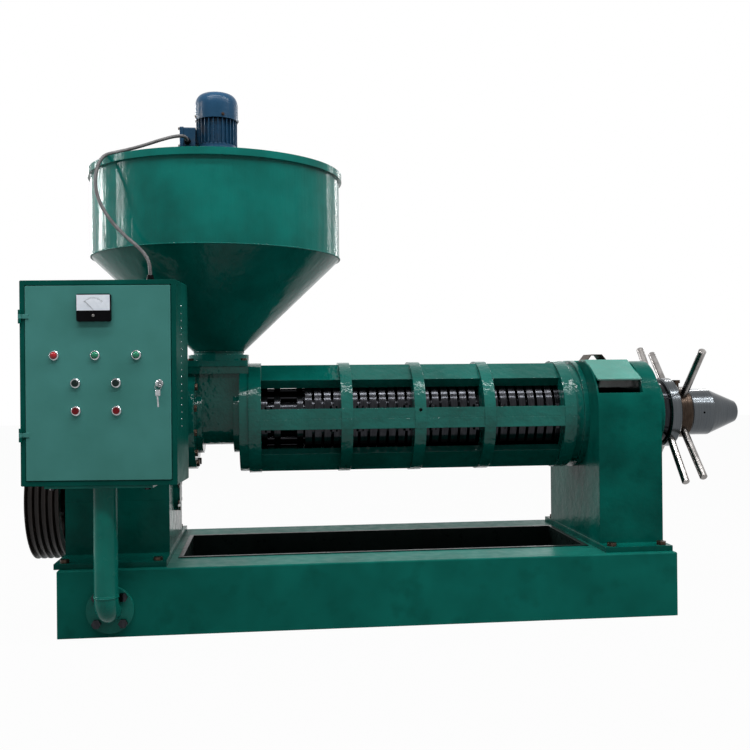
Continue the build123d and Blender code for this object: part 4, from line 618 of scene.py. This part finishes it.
def slab(width, height, depth, bevel):
    """A box with rounded edges, from local Z 0 upwards."""
    shape = bmesh.new()
    bmesh.ops.create_cube(shape, size=1)
    bmesh.ops.scale(shape, vec=(width, height, depth), verts=shape.verts)
    bmesh.ops.translate(shape, vec=(0, 0, depth / 2), verts=shape.verts)
    bmesh.ops.bevel(shape, geom=shape.edges, offset=bevel, segments=2, affect="EDGES")
    return shape


def placed(shape, matrix):
    """The same shape, moved by a matrix."""
    shape.transform(matrix)
    return shape


# Raised lands of the pressing rings: the first of each bay of the cage, and how many
BAYS = [(-0.216, 4), (-0.0525, 7), (0.2075, 6), (0.4585, 8)]
RING_PITCH = 0.034
LAND = {"Count": 96, "Radius": 0.134, "Section": 0.024}
lands = [(0, 0, first + RING_PITCH * i) for first, count in BAYS for i in range(count)]
grow(
    "ring_lands", seed_of(lands, joined=False), BANDS, oiled_steel, LAND, "frame",
    Matrix.Translation((0, 0, SHAFT_Z)) @ Matrix.Rotation(math.pi / 2, 4, "Y"),
)

# Screws of the fan cover and of the terminal box's cover
M5 = {"Head radius": 0.0045, "Head height": 0.0035, "Washer radius": 0.006, "Washer height": 0.0012}
for number, side in enumerate(FAN_SCREW_TURNS, 1):
    turned = HOPPER_AXIS @ Matrix.Rotation(math.radians(side), 4, "Z")
    place = turned @ Matrix.Translation((FAN_COVER_RADIUS, 0, FAN_COVER_LOW + FAN_SCREW_HEIGHT))
    grow(
        f"fan_cover_screw_{number}", seed_of([(0, 0, 0)], joined=False), SCREWS, bolt_iron, M5, "frame",
        place @ Matrix.Rotation(math.pi / 2, 4, "Y"),
    )
aside, across = TERMINAL_SCREWS
cover_spots = [(x, y, 0) for x in (-aside, aside) for y in (-across, across)]
grow(
    "terminal_cover_screws", seed_of(cover_spots, joined=False), SCREWS, bolt_iron, M5, "frame",
    Matrix.Translation((TERMINAL_FACE, 0, TERMINAL_MIDDLE)) @ Matrix.Rotation(-math.pi / 2, 4, "Y"),
)

# Cabinet panel: local X to the right, Y up and Z towards the operator
SWIVEL = math.radians(5.4)
PANEL = Matrix.Translation((-0.868, -0.543, 0.503)) @ Matrix((
    (math.cos(SWIVEL), 0, -math.sin(SWIVEL)),
    (-math.sin(SWIVEL), 0, -math.cos(SWIVEL)),
    (0, 1, 0),
)).to_4x4()
DOOR_FACE = 0.002
METER = (-0.010, 0.541)
METER_FACE = DOOR_FACE + 0.012
METER_SIZE = (0.104, 0.084)
LAMPS = [(-0.133, 0.397), (-0.009, 0.397), (0.116, 0.397)]
LOCK = (0.185, 0.310)


def on_panel(x, y, z):
    """The place of a point of the panel, with the panel's own directions."""
    return PANEL @ Matrix.Translation((x, y, z))


# Bare rims of the row of holes punched in the cabinet's right side
HALF_CABINET = 0.237
HOLE_LOW, HOLE_PITCH, HOLE_COUNT, HOLE_DEPTH = 0.175, 0.022, 18, 0.078
HOLE_RIM = {"Radius": 0.0024, "Thickness": 0.0009}
row = [(0, HOLE_LOW + HOLE_PITCH * i, 0) for i in range(HOLE_COUNT)]
grow(
    "vent_rims", seed_of(row, joined=False), RIMS, chrome_plate, HOLE_RIM, "frame",
    on_panel(HALF_CABINET, 0, -HOLE_DEPTH) @ Matrix.Rotation(math.pi / 2, 4, "Y"),
)

# Meter: a pale dial above, a black cover below, with a tick scale, a needle and a zero screw
DIAL_SHARE, DIAL_THICKNESS = 0.6, 0.0008
dial_height = DIAL_SHARE * METER_SIZE[1]
dial_y = METER[1] + (METER_SIZE[1] - dial_height) / 2 - 0.002
dial = slab(METER_SIZE[0] - 0.004, dial_height - 0.003, DIAL_THICKNESS, 0.0002)
dial_place = on_panel(METER[0], dial_y, METER_FACE)
piece("meter_dial", placed(dial, dial_place), dial_card, "door")
SWEEP = math.radians(96)
SCALE_RADIUS = 0.036
SCALE_STEPS = 40
TICKS = {"Count": 21, "Length": 0.0035, "Width": 0.0006, "Thickness": 0.0004}
PIVOT = (METER[0], dial_y - dial_height / 2 + 0.004)
leans = [SWEEP * (i / SCALE_STEPS - 0.5) for i in range(SCALE_STEPS + 1)]
arc = [(SCALE_RADIUS * math.sin(lean), SCALE_RADIUS * math.cos(lean), 0) for lean in leans]
grow(
    "meter_scale", seed_of(arc), DIAL, black_abs, TICKS, "door",
    on_panel(*PIVOT, METER_FACE + DIAL_THICKNESS), smooth=False,
)
NEEDLE_LENGTH = 0.036
needle = slab(0.0009, NEEDLE_LENGTH, 0.0004, 0.0001)
needle = placed(needle, Matrix.Translation((0, NEEDLE_LENGTH / 2, 0)))
at_zero = on_panel(*PIVOT, METER_FACE + 0.0012) @ Matrix.Rotation(math.radians(44), 4, "Z")
piece("meter_needle", placed(needle, at_zero), black_abs, "door")
zero_screw = lathe([(0.0045, 0), (0.0045, 0.0012), (0.0038, 0.002), (0, 0.002)])
zero_screw = placed(zero_screw, on_panel(METER[0], METER[1] - 0.024, METER_FACE))
piece("meter_screw", zero_screw, plain_steel, "door", True)

# Lamp lenses: shallow domes from their edge to their crown. The first stands for all of the part's.
LENS = [
    (0.0108, 0.0005), (0.0108, 0.003), (0.0102, 0.0068), (0.0085, 0.0098), (0.006, 0.0118),
    (0.003, 0.0128), (0.0, 0.013),
]
for number, (spot, lens) in enumerate(zip(LAMPS, (red_lens, green_lens, green_lens)), 1):
    dome = placed(lathe(LENS), on_panel(*spot, DOOR_FACE))
    stands_for = ("lamp_lenses",) if number == 1 else ()
    piece(f"lamp_lens_{number}", dome, lens, "door", True, stands_for)

# Spare key on a ring of wire, hanging from the key in the lock
RING_RADIUS, RING_WIRE = 0.0095, 0.0008
SPARE_KEY_X = LOCK[0] - 0.001
SPARE_KEY_Z = 0.020
ring_profile = [
    (RING_RADIUS + RING_WIRE * math.cos(math.pi * i / 4), RING_WIRE * math.sin(math.pi * i / 4))
    for i in range(9)
]
key_ring = placed(lathe(ring_profile, 28), on_panel(LOCK[0], LOCK[1] - 0.011, 0.022))
bmesh.ops.remove_doubles(key_ring, verts=key_ring.verts, dist=0.00001)
piece("key_ring", key_ring, chrome_plate, "key_lock", True)
bow_place = on_panel(SPARE_KEY_X, LOCK[1] - 0.029, SPARE_KEY_Z)
bow = placed(slab(0.015, 0.018, 0.002, 0.0007), bow_place)
piece("spare_key_bow", bow, chrome_plate, "key_lock", True)
blade_place = on_panel(SPARE_KEY_X, LOCK[1] - 0.055, SPARE_KEY_Z) @ Matrix.Rotation(0.06, 4, "Z")
blade = placed(slab(0.005, 0.034, 0.0018, 0.0006), blade_place)
piece("spare_key_blade", blade, chrome_plate, "key_lock", True)

# Floor, backdrop and light: how bright the white room is for matt surfaces, how much of the floor
# shows as plain white, and half the floor's side and its place
WHITE = (1, 1, 1, 1)
AMBIENT = 0.26
FLOOR_SHARE = 0.97
FLOOR_HALF = 12
FLOOR_PLACE = (0, 2, -0.0005)


def sees_white(tree):
    """1 for the camera and for rays off metal or through glass, 0 for diffuse light."""
    rays = tree.nodes.new("ShaderNodeLightPath").outputs
    camera_or_glossy = add(tree, "ShaderNodeMath", {
        0: rays["Is Camera Ray"], 1: rays["Is Glossy Ray"],
    }, operation="MAXIMUM")
    return add(tree, "ShaderNodeMath", {
        0: camera_or_glossy, 1: rays["Is Transmission Ray"],
    }, operation="MAXIMUM")


def floor_paint():
    """Matt floor that shows white and keeps a soft shadow."""
    material, tree, shader, place = start("floor_paint", 0.9)
    shade = add(tree, "ShaderNodeMix", {
        "Factor": pattern(tree, place, 1.2, 0.3, 0.7), "A": colour("8C8C8C"), "B": colour("949494"),
    }, data_type="RGBA")
    tree.links.new(shade, shader.inputs["Base Color"])
    shader.inputs["Specular IOR Level"].default_value = 0.0
    glow = add(tree, "ShaderNodeEmission", {"Color": WHITE})
    share = add(tree, "ShaderNodeMath", {0: sees_white(tree), 1: FLOOR_SHARE}, operation="MULTIPLY")
    mixed = add(tree, "ShaderNodeMixShader", {0: share, 1: shader.outputs["BSDF"], 2: glow})
    tree.links.new(mixed, tree.nodes["Material Output"].inputs["Surface"])
    return material


ground = bmesh.new()
bmesh.ops.create_grid(ground, x_segments=1, y_segments=1, size=FLOOR_HALF)
floor_mesh = bpy.data.meshes.new("floor")
ground.to_mesh(floor_mesh)
ground.free()
floor_mesh.materials.append(floor_paint())
floor = bpy.data.objects.new("floor", floor_mesh)
floor.location = FLOOR_PLACE
scene.collection.objects.link(floor)

world = bpy.data.worlds.new("studio")
scene.world = world
world.use_nodes = True
background = world.node_tree.nodes["Background"]
background.inputs["Color"].default_value = WHITE
strength = add(world.node_tree, "ShaderNodeMapRange", {
    "Value": sees_white(world.node_tree), "To Min": AMBIENT, "To Max": 1.0,
})
world.node_tree.links.new(strength, background.inputs["Strength"])


def area_light(name, place, target, size, power):
    """A rectangular lamp in watts, turned to its target and unseen by the camera."""
    data = bpy.data.lights.new(name, "AREA")
    data.shape = "RECTANGLE"
    data.size, data.size_y = size
    data.energy = power
    lamp = bpy.data.objects.new(name, data)
    lamp.location = place
    lamp.rotation_euler = (Vector(target) - Vector(place)).to_track_quat("-Z", "Y").to_euler()
    scene.collection.objects.link(lamp)
    lamp.visible_camera = False


# Two rows of workshop tubes, overhead and in front, and upright strips round the sides and back,
# each with its X, Y, width and power
area_light("overhead_tubes", (0.9, -1.25, 4.0), (0.9, 0, 0.7), (7.4, 0.14), 150)
area_light("front_tubes", (0.9, -2.3, 3.9), (0.9, 0, 0.7), (7.4, 0.09), 110)
STRIPS = [
    (-4.2, -0.3, 0.16, 42), (-3.7, 1.6, 0.22, 50), (-2.3, 3.2, 0.2, 26), (2.4, 1.9, 0.07, 9),
    (1.5, 2.8, 0.07, 9),
]
for number, (x, y, width, power) in enumerate(STRIPS, 1):
    area_light(f"strip_{number}", (x, y, 2.1), (HOPPER_X, 0, 1.5), (width, 1.8), power)
